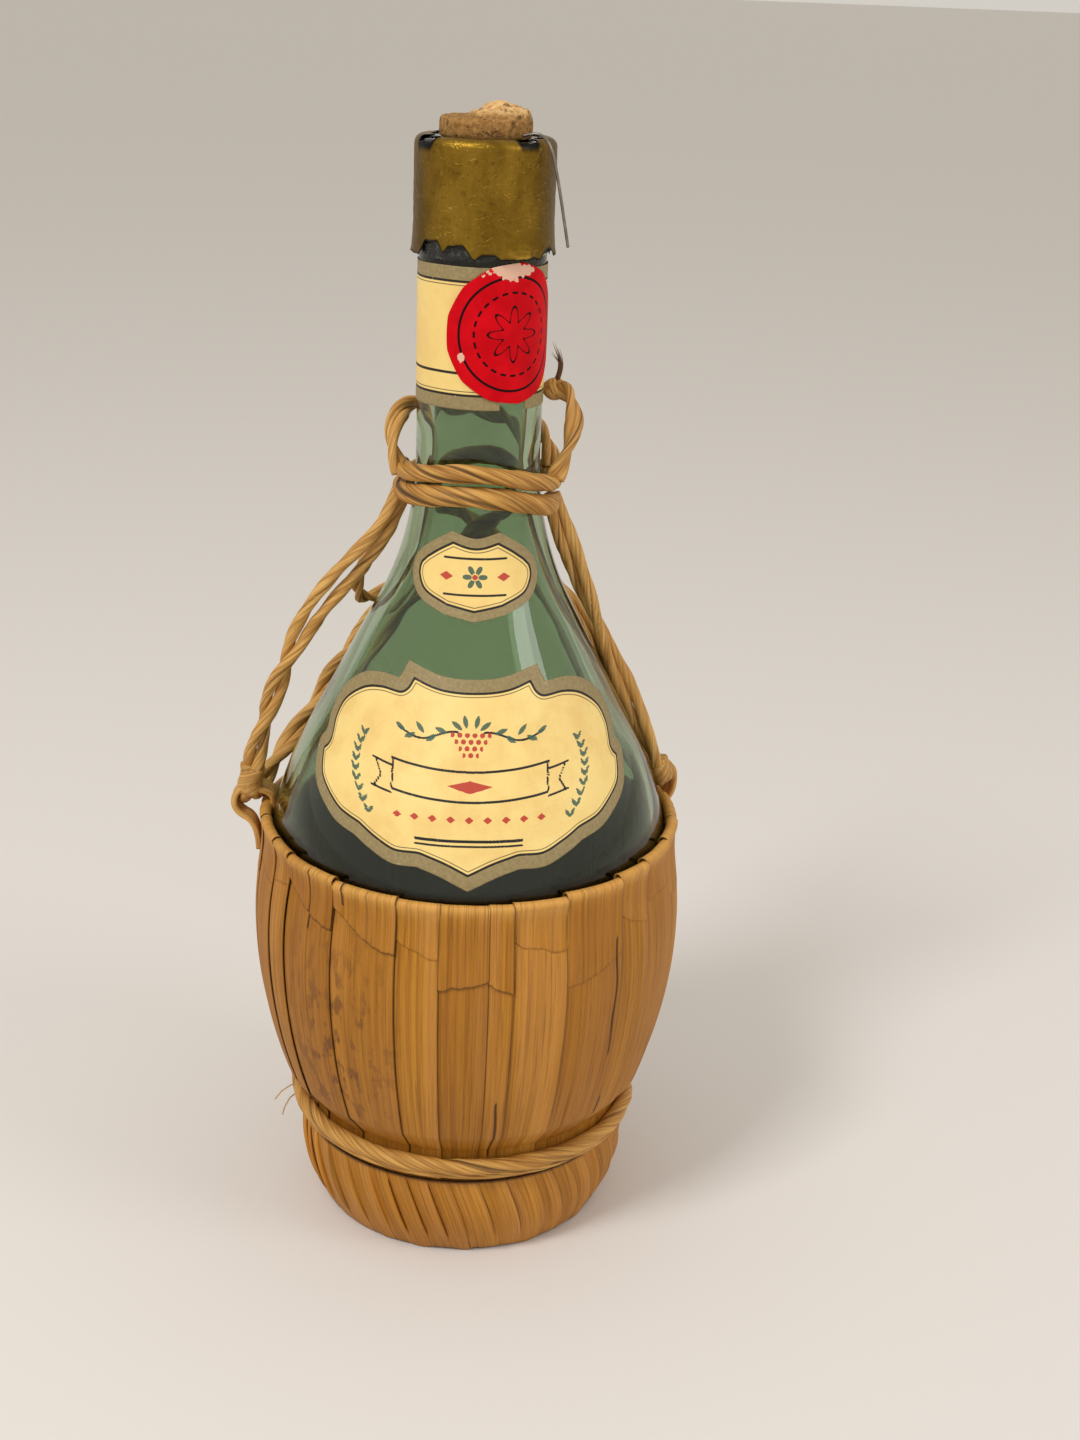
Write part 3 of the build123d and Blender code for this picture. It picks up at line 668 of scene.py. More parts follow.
def print_main(across, up):
    """The main label's inks: grapes between vine leaves, a plain ribbon, a row of lozenges, ruled
    lines, and a laurel sprig at each side. Scuffs are seeded specks."""
    side = np.abs(across)
    sag = up + 0.6 - 0.004 * across**2
    ribbon = stroke(np.abs(sag) - 3.6, 0.35) * (side < 19.5)
    ribbon = np.maximum(ribbon, stroke(side - 19.3, 0.3) * (np.abs(sag) < 3.8))
    fold = np.abs(sag + 1.4)
    tail = np.maximum(stroke(fold - 3.2, 0.3), stroke(side - 24.2 + 0.6 * (3.2 - fold), 0.3))
    ribbon = np.maximum(ribbon, tail * (side > 19.3) * (side < 25) * (fold < 3.5))
    rules = np.maximum(stroke(up + 13.4, 0.45), stroke(up + 14.6, 0.25)) * (side < 13)
    stem = stroke(up - 11.4 - 1.1 * np.sin(side / 2.6), 0.3) * ((side > 3) & (side < 18))
    row = np.round((up - 7.0) / 1.6)
    shifted = across + 0.9 * (row % 2)
    berry = np.hypot((shifted + 0.9) % 1.8 - 0.9, up - 7.0 - 1.6 * row)
    bunch = (side < 0.62 * (row * 1.6 + 2.4) + 0.4) & (up > 6.2) & (up < 12.4)
    grapes = unit((0.72 - berry) / 0.2) * bunch
    green = np.zeros_like(across)
    for place, height, angle in ((3.4, 14.0, 0.9), (1.4, 15.0, 0.2), (7.2, 12.6, 1.2), (9.6, 10.6, 2.2),
                                 (12.4, 12.8, 0.7), (15.0, 10.6, 2.0), (17.6, 12.2, 1.0)):
        green = np.maximum(green, blade(side - place, up - height, angle, 1.7, 0.6))
    for step in range(9):
        height = 2.2 * step - 9.5
        place = 30.4 - 0.045 * (height - 1) ** 2
        for lean in (-0.6, 0.6):
            leaf_ink = blade(side - place - 1.1 * lean, up - height - 0.8, lean, 1.35, 0.45)
            green = np.maximum(green, leaf_ink)
    near = np.abs(across - 4.4 * np.round(across / 4.4))
    lozenge = unit((1 - near / 1.3 - np.abs(up + 8.4)) * 4) * (side < 20)
    centre = unit((1 - side / 6.0 - np.abs(sag) / 1.7) * 6)
    black = np.maximum.reduce([ribbon, rules, stem])
    red = np.maximum.reduce([lozenge, centre, grapes])
    scuff = unit(roughness(together(across, 0.0, up), 3.4, 31, 3) - 1.25) * 3
    return {"black": black, "red": red, "green": green, "scuff": scuff}


def print_vintage(across, up):
    """The upper label's inks: a leaf rosette between two lozenges and two short rules."""
    side = np.abs(across)
    rules = np.maximum(stroke(up - 4.4, 0.3), stroke(up + 4.4, 0.3)) * unit((8 - side) / 0.4)
    away = np.hypot(across, up)
    turn = np.arctan2(up, across)
    green = unit((3.1 * np.abs(np.cos(3 * turn)) ** 0.7 - away) / 0.2) * (away > 0.9)
    red = unit((0.75 - away) / 0.2)
    red = np.maximum(red, unit((1 - np.abs(side - 7.0) / 1.9 - np.abs(up) / 1.2) * 5))
    return {"black": rules, "red": red, "green": green, "scuff": 0.0}


paper = paper_finish("label_paper", screen(245, 216, 138), 0.66, 3.0)
band_paper = paper_finish("band_paper", screen(243, 212, 132), 0.7, 3.0)
small_paper = paper_finish("small_label_paper", screen(243, 212, 132), 0.7, 2.1)
main_cusps = (0, 2, 5, 12, 17, 18, 22, 23, 28, 35, 38)
vintage_cusps = (0, 1, 5, 7, 9, 11, 15)
outline = smooth_outline(main_outline * (76.0, 48.6) + (0, 109.4), main_cusps, 520)
label("main_label_paper", outline, np.array([0.0, 133.0]), 84, paper, "main_label", print_main)
outline = smooth_outline(vintage_outline * (30.0, 20.3) + (0, 167.6), vintage_cusps, 320)
label("vintage_label_paper", outline, np.array([0.0, 177.6]), 56, small_paper, "vintage_label", print_vintage)

band_low = 216.9
band_high = 249.9
band_start = 44
band_end = 378
height = np.linspace(band_low, band_high, 100)[:, None]
azimuths = np.linspace(band_start, band_end, 300)
slant = 0.35 * roughness(ring_points(azimuths, 15.0, 0 * height), 30.0, 17, 2)
band_points = ring_points(azimuths, neck_radius + paper_lift, height + slant)
band_points = pushed(band_points, azimuths, 0.06 * roughness(band_points, 8.0, 18, 2))
end_inset = np.radians(np.minimum(azimuths - band_start, band_end - azimuths)) * neck_radius
band_inset = np.minimum(np.minimum(height - band_low, band_high - height), end_inset + 2.2)
made = grid(band_points, inset=band_inset, black=stroke(height - band_low - 8.5, 0.3), red=0.0, green=0.0,
            scuff=0.0)
piece("neck_band_paper", [made], band_paper, replaces=["neck_band_label"], skin=band_thickness)

seal_paper = Finish("seal_paper", Roughness=0.5, Specular_IOR_Level=0.08)
mottle = seal_paper.noise(0.2, 4, 0.6)
red = seal_paper.mix(mottle.above(0.35, 0.7), screen(194, 0, 16), screen(214, 4, 22))
rings = seal_paper.mix(seal_paper.value("black").above(0.35, 0.65), red, screen(34, 8, 12))
flakes = seal_paper.noise(0.9, 4, 0.7)
bare = (seal_paper.value("scuff") + flakes * 0.9).above(1.02, 1.16)
seal_paper.feed("Base Color", seal_paper.mix(bare, rings, screen(226, 182, 158)))
seal_paper.bump(mottle, 0.25, 0.3)

seal_radius = 16.4
seal_height = 234.8
seal_azimuth = 29.0
turn = np.linspace(0, 2 * pi, 360, endpoint=False)
facets = 0.25 * np.abs(np.sin(6.5 * turn)) + 0.12 * np.sin(3 * turn + 1)
reach = np.linspace(1, 0, 90)[:, None] * (seal_radius - facets)
across, up = reach * np.cos(turn), reach * np.sin(turn)
seal_points = ring_points(seal_azimuth + np.degrees(across / (neck_radius + seal_lift)),
                          neck_radius + seal_lift, seal_height + up)
petals = 0.5 + 0.5 * np.cos(8 * turn)
dashes = np.cos(24 * turn) > -0.3
black = np.maximum(stroke(reach - 13.2, 0.35), stroke(reach - 9.6, 0.3) * dashes)
black = np.maximum(black, stroke(reach - 3.0 - 3.4 * petals, 0.4))
flat = together(across, 0.0, up)
top_tear = 0.95 - np.hypot((across + 1.5) / 6.4, (up - 14.6) / 2.4) - 0.6 * roughness(flat, 3.0, 33, 4)
side_tear = 0.7 - np.hypot(across + 12.6, (up + 5.6) / 1.6) - 0.7 * roughness(flat, 2.4, 34)
torn = unit(0.5 + 2.5 * np.maximum(top_tear, side_tear))
made = grid(seal_points, True, (False, True), black=black, scuff=torn)
piece("neck_seal_paper", [made], seal_paper, replaces=["neck_seal"], skin=seal_thickness)


# The slings and loops: grass cords of two strands, lightly twisted. They hang from the winding on
# the neck, cross behind it and run under the basket's ears.
left_sling_points = (
    (-18.4, -3.0, 194.4), (-20.2, -3.4, 189.6), (-23.6, -4.2, 183.0), (-30.6, -5.0, 175.0),
    (-39.2, -4.4, 164.6), (-46.0, -3.2, 152.0), (-50.8, -2.2, 139.0), (-54.2, -1.2, 128.0),
    (-56.2, -0.4, 118.6), (-57.4, 0.8, 111.4), (-56.8, 4.6, 109.8), (-53.0, 10.0, 114.6),
    (-48.6, 15.8, 120.2),
    (-42.2, 22.6, 128.0), (-36.8, 22.6, 138.0), (-29.8, 22.6, 149.0), (-20.8, 23.8, 160.0),
    (-10.8, 23.9, 170.0), (-1.0, 23.0, 178.4), (8.5, 19.2, 185.2), (12.8, 14.2, 191.0),
    (13.4, 12.8, 197.4),
)
right_sling_points = (
    (18.2, -1.6, 193.4), (20.2, -0.4, 188.0), (22.8, 1.4, 180.8), (26.4, 3.6, 171.8),
    (30.4, 5.8, 161.6), (34.4, 8.2, 152.0), (38.6, 9.8, 142.8), (42.8, 10.8, 133.9),
    (46.6, 12.2, 125.0), (49.8, 13.2, 117.6), (52.0, 15.4, 112.9), (50.8, 19.9, 112.9),
    (47.6, 23.2, 116.6), (44.2, 25.4, 122.2), (40.4, 26.0, 129.4), (37.0, 24.0, 138.2),
    (32.2, 20.8, 148.2), (26.8, 18.6, 158.6), (18.8, 21.0, 167.6), (9.8, 25.8, 174.2),
    (0.6, 28.8, 179.2), (-8.0, 25.8, 184.2), (-14.2, 16.8, 187.6), (-15.6, 11.4, 191.2),
    (-15.6, 10.2, 196.4),
)
back_loop_points = (
    (-18.6, -4.2, 199.4), (-20.6, -4.0, 204.0), (-21.0, -1.8, 208.8), (-19.6, 3.2, 212.4),
    (-17.0, 10.2, 213.2), (-10.8, 15.8, 212.6), (-2.0, 19.4, 211.4), (8.0, 17.8, 210.2),
    (15.0, 12.2, 207.6), (18.2, 7.4, 203.6), (18.2, 5.2, 199.6),
)
right_loop_points = (
    (18.8, -3.2, 198.6), (21.6, -2.4, 204.4), (23.0, -0.8, 210.0), (23.2, 1.4, 215.0),
    (21.2, 4.4, 218.8), (18.4, 5.6, 218.6),
)
small_loop_points = (
    (-23.8, -2.0, 182.6), (-27.0, 2.6, 175.6), (-30.0, 6.6, 168.6), (-29.8, 11.2, 162.8),
    (-26.8, 15.2, 161.0), (-22.8, 18.6, 162.8), (-20.6, 20.0, 166.4),
)
tail_points = ((18.9, 3.6, 221.6), (19.8, 2.9, 224.4), (19.4, 2.4, 227.4), (18.6, 2.2, 229.6))
knot_centre = (18.0, 5.8, 218.6)


def grass_finish(name, pale, deep, dark):
    """Dried grass: the mesh carries its grain, as places across and along the fibres, and how deep
    each place lies in a fold, which it darkens as painted shading."""
    grass = Finish(name, Roughness=0.55, Specular_IOR_Level=0.35)
    streaks = grass.noise(1.0, 5, 0.6, where=grass.value("grain", (1.6, 1.6, 0.06)))
    fine = grass.noise(1.0, 3, 0.6, where=grass.value("grain", (5.0, 5.0, 0.12)))
    patches = grass.noise(0.06, 3, 0.5)
    fold = grass.value("edge")
    tone = grass.mix(streaks.above(0.36, 0.64), pale, deep)
    tone = grass.mix(patches.above(0.45, 0.75) * 0.5, tone, deep)
    tone = grass.mix(fine.above(0.55, 0.75) * 0.25, tone, dark)
    # Painted shade: places deep in a fold are darkened, and so is a cut end marked dark.
    tone = grass.mix(fold.above(0.2, 1.0) * 0.85, tone, dark)
    grass.feed("Base Color", tone)
    grass.feed("Roughness", fine * 0.3 + 0.4)
    grass.bump(streaks + fine * 0.5 - fold, 0.6, 0.4)
    return grass


grass = grass_finish("cord_grass", screen(222, 176, 100), screen(174, 122, 56), screen(62, 36, 12))


def grass_piece(word, grids):
    """A cord of that grass, which stands for the node of its name."""
    return piece(f"{word}_grass", grids, grass, replaces=[f"{word}_cord"])


def strands(line, spread, radius, turns, seed, count=2, phase=0.0):
    """Twisted strands about a line: each winds round it at a spread, which is a number or one per
    point. Turns is one such winding in radians at each point, or a number of turns in all."""
    way = run_along(line)
    first, second = frames(line, from_axis(line))
    winding = turns * 2 * pi * way / way[-1] if np.isscalar(turns) else turns
    spread = np.broadcast_to(np.asarray(spread, float), way.shape)
    made = []
    for strand in range(count):
        angle = winding + phase + 2 * pi * strand / count
        offset = np.cos(angle)[:, None] * first + np.sin(angle)[:, None] * second
        sway = 0.12 * roughness(line, 14.0, seed + strand, 2)[:, None]
        path = line + offset * (spread[:, None] + sway)
        size = radius * (1 + 0.08 * roughness(line, 9.0, seed + 10 + strand, 2))
        made.append(tube(path, size, 22, twist=0.035, folds=4, depth=0.16, flatness=0.08,
                         seed=seed + strand))
    return made


left_line = spline_line(left_sling_points, 0.9)
right_line = spline_line(right_sling_points, 0.9)
way = run_along(left_line)
open_gap = 1.45 + 0.9 * np.exp(-((way - 26) / 16) ** 2)
winding = 2.4 + 0.02 * way + np.clip(way - 46, 0, None) * 0.16
at_ear = (np.abs(left_line[:, 2] - 116.6) < 4.0) & (left_line[:, 1] < 1)
band = tube(left_line[at_ear], 3.15, 40, twist=0.09, folds=6, depth=0.12, flatness=0.05, seed=91)
left_sling = grass_piece("left_sling", [*strands(left_line, open_gap, 1.5, winding, 101), band])
winding = 2.0 + 0.072 * way[-1] * np.linspace(0, 1, len(right_line))
at_ear = (np.abs(right_line[:, 2] - 116.0) < 3.2) & (right_line[:, 1] < 15.4)
band = tube(right_line[at_ear], 3.05, 40, twist=0.09, folds=6, depth=0.12, flatness=0.05, seed=92)
right_sling = grass_piece("right_sling", [*strands(right_line, 1.45, 1.5, winding, 111), band])

back_line = spline_line(back_loop_points, 0.8)
loop_line = spline_line(right_loop_points, 0.8)
small_line = spline_line(small_loop_points, 0.6)
tail_line = spline_line(tail_points, 0.4)
back_loop = grass_piece("back_loop", strands(back_line, 1.15, 1.25, 2.6, 121))
right_loop = grass_piece("right_loop", strands(loop_line, 1.1, 1.2, 0.9, 131))
small_loop = grass_piece("small_loop", strands(small_line, 0.85, 1.0, 2.0, 141))

bark = grass_finish("tail_fibre", screen(120, 84, 52), screen(84, 56, 34), screen(38, 24, 14))
fibres = []
draw = np.random.default_rng(7)
along_tail = np.linspace(0, 1, len(tail_line))[:, None]
for number in range(9):
    lean = draw.normal(size=3) * 0.9
    path = tail_line + draw.normal(size=3) * 0.3 + lean * along_tail**2
    fibres.append(tube(path, 0.3 * (1.05 - along_tail[:, 0]), 7, seed=number))
tail = piece("knot_tail_fibres", fibres, bark, replaces=["knot_tail"])
turn = np.linspace(0, 2 * pi, 60)[:, None]
knot_line = np.hstack([np.cos(turn), np.sin(turn), 0.4 * np.sin(2 * turn)])
tilt = np.array([[1.0, 0.2, 0.0], [0.0, 0.45, 0.85], [0.1, -0.8, 0.5]])
knots = [tube(knot_centre + knot_line @ tilt * 1.7, 1.2, 16, folds=3, depth=0.15, seed=150),
         tube(knot_centre + knot_line[:, [2, 0, 1]] * 1.5, 1.15, 16, folds=3, depth=0.15, seed=151)]
knot = piece("cord_knot_grass", knots, grass, replaces=["cord_knot"])


# The winding on the neck: one bundle of grass, wound one and a half turns and pulled down at the
# sides. It holds the slings' ends.
wrap_start = 202.3
wrap_drop = 5.4
wrap_sag = 3.6
wrap_radius = 18.4
turns = np.linspace(-90, 450, 420)
later = unit((turns - 130) / 90)
wrap_height = wrap_start - wrap_drop * turns / 360 - wrap_sag * np.sin(np.radians(turns)) ** 2
wrap_line = ring_points(turns, wrap_radius - 0.15 * later, wrap_height)
wrap_size = 2.2 + 0.45 * later + 0.12 * roughness(wrap_line, 20.0, 61, 2)
wrap_grass = grass_finish("wrap_grass", screen(212, 162, 84), screen(156, 104, 40), screen(46, 26, 8))
piece("neck_wrap_grass", [tube(wrap_line, wrap_size, 40, twist=0.028, folds=7, depth=0.16,
                               flatness=0.05, seed=60, dark_start=1.0)], wrap_grass,
      replaces=["neck_wrap_cord"])


# The basket: dried leaf strips stand side by side from the waist to the rim, where each is folded
# outwards over a thin cord and ends in a short ragged flap.
leaf = 0.9
leaf_gap = 0.3
widest = 55.35
widest_height = 82.0
basket_arc = 125.0
fold_radius = 1.25
waist_height = 28.6
waist_radius = 42.7
rim_level = 106.8
rim_rise = 3.4
leaf_skin = 0.32
leaf_apart = 40.0
column_step = 0.34
strip_shares = (
    1.0, 1.5, 0.9, 1.8, 1.8, 1.1, 1.2, 0.6, 1.4, 1.7, 1.1, 1.4,
    1.5, 1.7, 1.3, 1.8, 1.6, 1.9, 1.4, 1.7, 1.6, 1.3, 1.8, 1.5,
)
strip_first_azimuth = -91.0
flap_lengths = (
    15.0, 11.0, 9.0, 12.0, 13.0, 12.5, 20.0, 21.0, 12.0, 23.0, 14.0, 10.0,
    16.0, 12.0, 18.0, 13.0, 22.0, 14.0, 11.0, 19.0, 13.0, 17.0, 12.0, 15.0,
)


def straw_finish(name, pale, deep, dark):
    """Dried leaf: fibres along the strip, a tone of its own for each leaf, peach bands, amber
    patches, brown mildew where the mesh says, and painted shading at edges and in splits. The
    tone the mesh carries also holds a painted highlight on the rim and painted light and shading
    on the foot's pleats."""
    straw = Finish(name, Roughness=0.5, Specular_IOR_Level=0.3)
    broad = straw.fibres(1.0, 0.012, 3, 0.5)
    bands = straw.fibres(0.16, 0.01, 2, 0.5)
    fibres = straw.fibres(3.4, 0.05, 4, 0.6)
    fine = straw.fibres(9.0, 0.16, 2, 0.5)
    veins = straw.fibres(0.8, 0.006, 2, 0.6)
    patches = straw.noise(0.035, 4, 0.6)
    blotches = straw.noise(0.3, 4, 0.6, where=straw.place((1, 1, 0.5)))
    vein = 1 - (veins - 0.5).math("ABSOLUTE").above(0.004, 0.02)
    tone = straw.mix(broad.above(0.3, 0.7) * 0.55 + 0.2, pale, deep)
    tone = straw.mix(bands.above(0.42, 0.62) * 0.5, tone, screen(204, 142, 68))
    # Positive tone values deepen the colour: each leaf's own tone, and painted shade on the foot's pleats.
    # Negative values pale it as a painted highlight, on the rim's fold and on one side of each pleat.
    tone = straw.mix(straw.value("shade") * 0.6, tone, deep)
    tone = straw.mix(straw.value("shade") * -0.7, tone, screen(232, 176, 92))
    tone = straw.mix(fibres.above(0.48, 0.76) * 0.34, tone, dark)
    tone = straw.mix(patches.above(0.48, 0.8) * 0.4, tone, deep)
    tone = straw.mix(vein * 0.28, tone, dark)
    tone = straw.mix(blotches.above(0.5, 0.62) * straw.value("stain"), tone, screen(112, 68, 26))
    # Painted shade along the seams between strips, under flap ends, in splits, in the foot's pleat steps and
    # top edge, and between the ring's coils.
    tone = straw.mix(straw.value("edge").above(0.15, 1.0) * 0.9, tone, dark)
    straw.feed("Base Color", tone)
    straw.feed("Roughness", fibres * 0.3 + 0.35)
    straw.bump(broad * 0.6 + fibres * 0.8 + fine * 0.4 - vein * 0.4, 0.5, 0.45)
    return straw


straw = straw_finish("basket_straw", screen(204, 142, 42), screen(150, 91, 14), screen(52, 26, 6))


def rim_height(azimuth):
    """The rim's height, which is greatest at the two sides."""
    return rim_level + rim_rise * np.sin(np.radians(azimuth)) ** 2


def rim_fold(rim):
    """How the wall leans in under a rim of a height: the radius of its upper arc, the arc's turn,
    and the middle of the fold as radius and height."""
    top = rim - leaf / 2 - fold_radius
    drop = widest - (glass_radius(top) + leaf_gap + leaf / 2)
    upper = ((top - widest_height) ** 2 + drop**2) / (2 * drop)
    lean = np.arcsin((top - widest_height) / upper)
    reach = upper + fold_radius
    return upper, lean, widest - upper + reach * np.cos(lean), widest_height + reach * np.sin(lean)


def rim_line(rim, flap, step, skin):
    """A strip's line as (radius, height): from under the waist cord up the wall, over the fold and
    down its flap. Each stretch is an arc or a straight run, as in the model's section."""
    upper, lean, *crest = rim_fold(rim)
    top = rim - leaf / 2 - fold_radius
    low = np.arcsin((waist_height + 11 - widest_height) / basket_arc)
    start = waist_radius - leaf / 2
    straight = np.array([(start, waist_height - 4.2), (start, waist_height + 4.2)])
    angle = np.linspace(low, 0, 40)
    lower = np.stack([widest - basket_arc + basket_arc * np.cos(angle),
                      widest_height + basket_arc * np.sin(angle)], -1)
    angle = np.linspace(0, lean, 24)[1:]
    higher = np.stack([widest - upper + upper * np.cos(angle), widest_height + upper * np.sin(angle)], -1)
    angle = np.linspace(pi + lean, lean, 14)[1:]
    fold = np.array(crest) + fold_radius * np.stack([np.cos(angle), np.sin(angle)], -1)
    share = np.linspace(0, 1, 20)[1:, None]
    end_height = top - flap
    fall = fold[-1, 1] + share[:, 0] * (end_height - fold[-1, 1])
    wall = widest - upper + np.sqrt(upper**2 - (fall - widest_height) ** 2) + skin
    settle = (1 - share[:, 0]) ** 3
    down = np.stack([wall + (fold[-1, 0] - wall[0]) * settle, fall], -1)
    line = np.concatenate([straight, lower, higher, fold, down])
    way = run_along(line)
    even = np.linspace(0, way[-1], int(way[-1] / step))
    return np.stack([np.interp(even, way, line[:, k]) for k in range(2)], -1), way[-1] - flap


flaps_shown = (4, 5, 7, 8, 14, 17, 20)
flap_skews = {4: 0.75, 5: 0.7, 6: 0.35, 7: -0.15, 9: 0.3, 10: -0.3, 11: 0.4}
strip_shades = (
    0.3, 0.6, 0.2, 0.9, 0.5, 0.1, 0.7, 0.3, 0.0, 0.8, 0.3, 0.6,
    0.2, 0.7, 0.4, 0.9, 0.3, 0.6, 0.1, 0.5, 0.8, 0.2, 0.6, 0.4,
)
splits = {
    4: (0.1, 92.0, 109.0), 5: (-0.65, 102.0, 110.0), 8: (0.2, 30.0, 53.0), 10: (0.78, 58.0, 95.0),
    11: (-0.86, 34.0, 46.0), 13: (0.3, 50.0, 78.0), 16: (-0.4, 84.0, 104.0), 20: (0.5, 33.0, 60.0),
}
mildew_middle = (-31.0, 62.0)
mildew_reach = (15.0, 36.0)
azimuth = strip_first_azimuth
for number, (share, flap, tone) in enumerate(zip(strip_shares, flap_lengths, strip_shades), 1):
    width = 360 * share / sum(strip_shares)
    middle = azimuth + width / 2
    shows = number in flaps_shown
    line, fold_way = rim_line(rim_height(middle), flap, 0.8, 0.14 if shows else -0.22)
    side = np.linspace(-1, 1, int(width * widest * pi / 180 / column_step))[None, :]
    way = run_along(line)[:, None]
    half = width / 2 + 0.12
    across = side * radians(half) * widest
    at = together(across, way, number * leaf_apart)
    on_flap = unit((way - fold_way) / 3.0)
    draw = np.random.default_rng(300 + number)
    skew = flap_skews.get(number, draw.uniform(-0.4, 0.4))
    reach = 1 - abs(skew) * (0.5 - 0.5 * np.sign(skew) * side[0]) ** 1.6
    rag = reach + 0.05 * roughness(at[0] * (1, 0, 1), 6.0, 340 + number, 4)
    cut = np.where(way > fold_way, fold_way + (way - fold_way) * rag[None, :], way)
    radius, height = [np.interp(cut, way[:, 0], line[:, k]) for k in range(2)]
    laid = together(across, 0.05 * height, number * leaf_apart)
    folds = roughness(laid, 8.0, 200 + number, 3)
    ribs = np.sin(across * 2 * pi / 1.3 + 3 * roughness(laid, 16.0, 240 + number, 2))
    lift = 0.12 * folds + 0.06 * ribs + 0.2 * side - 0.2 * np.abs(side) ** 12
    split = 0 * height
    if number in splits:
        place, low, high = splits[number]
        off = across - place * radians(half) * widest - 0.25 * np.sin(height / 3.0)
        open_share = unit((height - low) * (high - height) / (0.06 * (high - low) ** 2))
        split = np.exp(-((off / (0.1 + 0.3 * open_share)) ** 2)) * open_share
    points = ring_points(middle + side * half, radius + lift - 0.25 * split, height)
    from_mildew = np.linalg.norm((points[..., [0, 2]] - mildew_middle) / mildew_reach, axis=-1)
    stain = 0.85 * unit(1.25 - from_mildew) * (points[..., 1] < 0)
    # Painted shade: dark lines along the seams between strips, under the ends of the flaps, strongest where a
    # flap shows, and in the splits.
    edge_way = (1 - np.abs(side)) * radians(half) * widest
    faint = 0.35 + 0.35 * np.clip(roughness(at * (0, 1, 1), 30.0, 380 + number, 2), -1, 1)
    seam_shade = unit(1 - edge_way / 0.5) * (faint + 0.4)
    flap_end_shade = unit(1 - (way[-1] - way) / 0.5) * on_flap * (0.7 if shows else 0.25)
    edge = np.maximum(np.maximum(seam_shade, flap_end_shade), 1.2 * split)
    # Painted highlight: the fold at the rim is paled towards a bright straw colour, as negative tone values;
    # elsewhere the value is the leaf's own tone with its folds.
    rim_highlight = np.exp(-(((way - fold_way + 2.0) / 3.4) ** 2))
    shade = tone * (1 - rim_highlight) - 0.8 * rim_highlight + 0.12 * folds
    made = grid(points, grain=at, edge=edge, stain=stain, shade=shade)
    piece(f"straw_leaf_{number:02d}", [made], straw, replaces=[f"straw_strip_{number:02d}"],
          skin=leaf_skin, side=-1)
    azimuth += width

strap_lines = []
for azimuth, bend_radius, bend_height in ((-93.0, 57.2, 110.6), (109.0, 54.4, 112.9)):
    fold_middle, fold_height = rim_fold(rim_height(azimuth))[2:]
    outside = max(fold_middle + fold_radius + 1.0, bend_radius + 3.6)
    inside = min(bend_radius - 3.6, fold_middle - 1.9)
    bent = np.array([
        (fold_middle - 2.1, fold_height - 4.0), (inside, fold_height), (inside + 0.4, bend_height + 2.4),
        (bend_radius, bend_height + 4.0), (outside, bend_height + 2.0), (outside, fold_height - 1.0),
        (fold_middle + fold_radius + 0.9, fold_height - 4.0), (fold_middle + 1.9, fold_height - 11.0),
    ])
    for apart in (-1.6, 1.5):
        turned_by = azimuth + apart + 0.5 * np.arange(len(bent))
        strap_lines.append(spline_line(ring_points(turned_by, bent[:, 0], bent[:, 1]), 0.5))
straps = [tube(line, 1.15, 24, flatness=-0.55, folds=3, depth=0.08, seed=95 + number)
          for number, line in enumerate(strap_lines)]
piece("ear_straps", straps, grass)

rim_turns = np.linspace(0, 360, 400)
fold_middle, fold_height = rim_fold(rim_height(rim_turns))[2:]
rim_core = ring_points(rim_turns, fold_middle, fold_height - 0.5)
piece("rim_cord_grass", [tube(rim_core, 0.35, 12, twist=0.15, folds=3, depth=0.12, seed=70)], grass,
      replaces=["rim_cord"])


# The waist cord: a thick pale cord of two strands with a thin one under it, wound one and a half
# turns to tie the strips down to the foot.
waist_drop = 3.4
turns = np.linspace(-90, 450, 1100)
cord_height = waist_height + waist_drop * (0.5 - turns / 360)
waist_line = ring_points(turns, waist_radius + 1.75, cord_height)
waist_grass = grass_finish("waist_grass", screen(214, 164, 84), screen(168, 116, 48), screen(66, 38, 14))
thick = 1 - unit((turns - 150) / 60)
waist_line[:, 2] += 0.25 - 1.0 * thick
waist_size = 1.0 + 1.05 * thick + 0.1 * roughness(waist_line, 24.0, 61, 2)
strays = np.array([
    [(-44.8, 2.0, 26.0), (-47.4, 0.8, 25.2), (-49.6, 0.2, 23.8), (-51.4, -0.6, 21.6)],
    [(-44.6, -6.0, 27.4), (-46.6, -7.0, 26.2), (-48.0, -8.6, 24.0), (-48.4, -10.0, 22.6)],
])
waist_tubes = [tube(stray, 0.16, 6) for stray in strays]
waist_tubes.append(tube(waist_line, waist_size, 32, twist=0.03, folds=5, depth=0.15, flatness=0.06, seed=161))
piece("waist_cord_grass", waist_tubes, waist_grass, replaces=["waist_cord"])


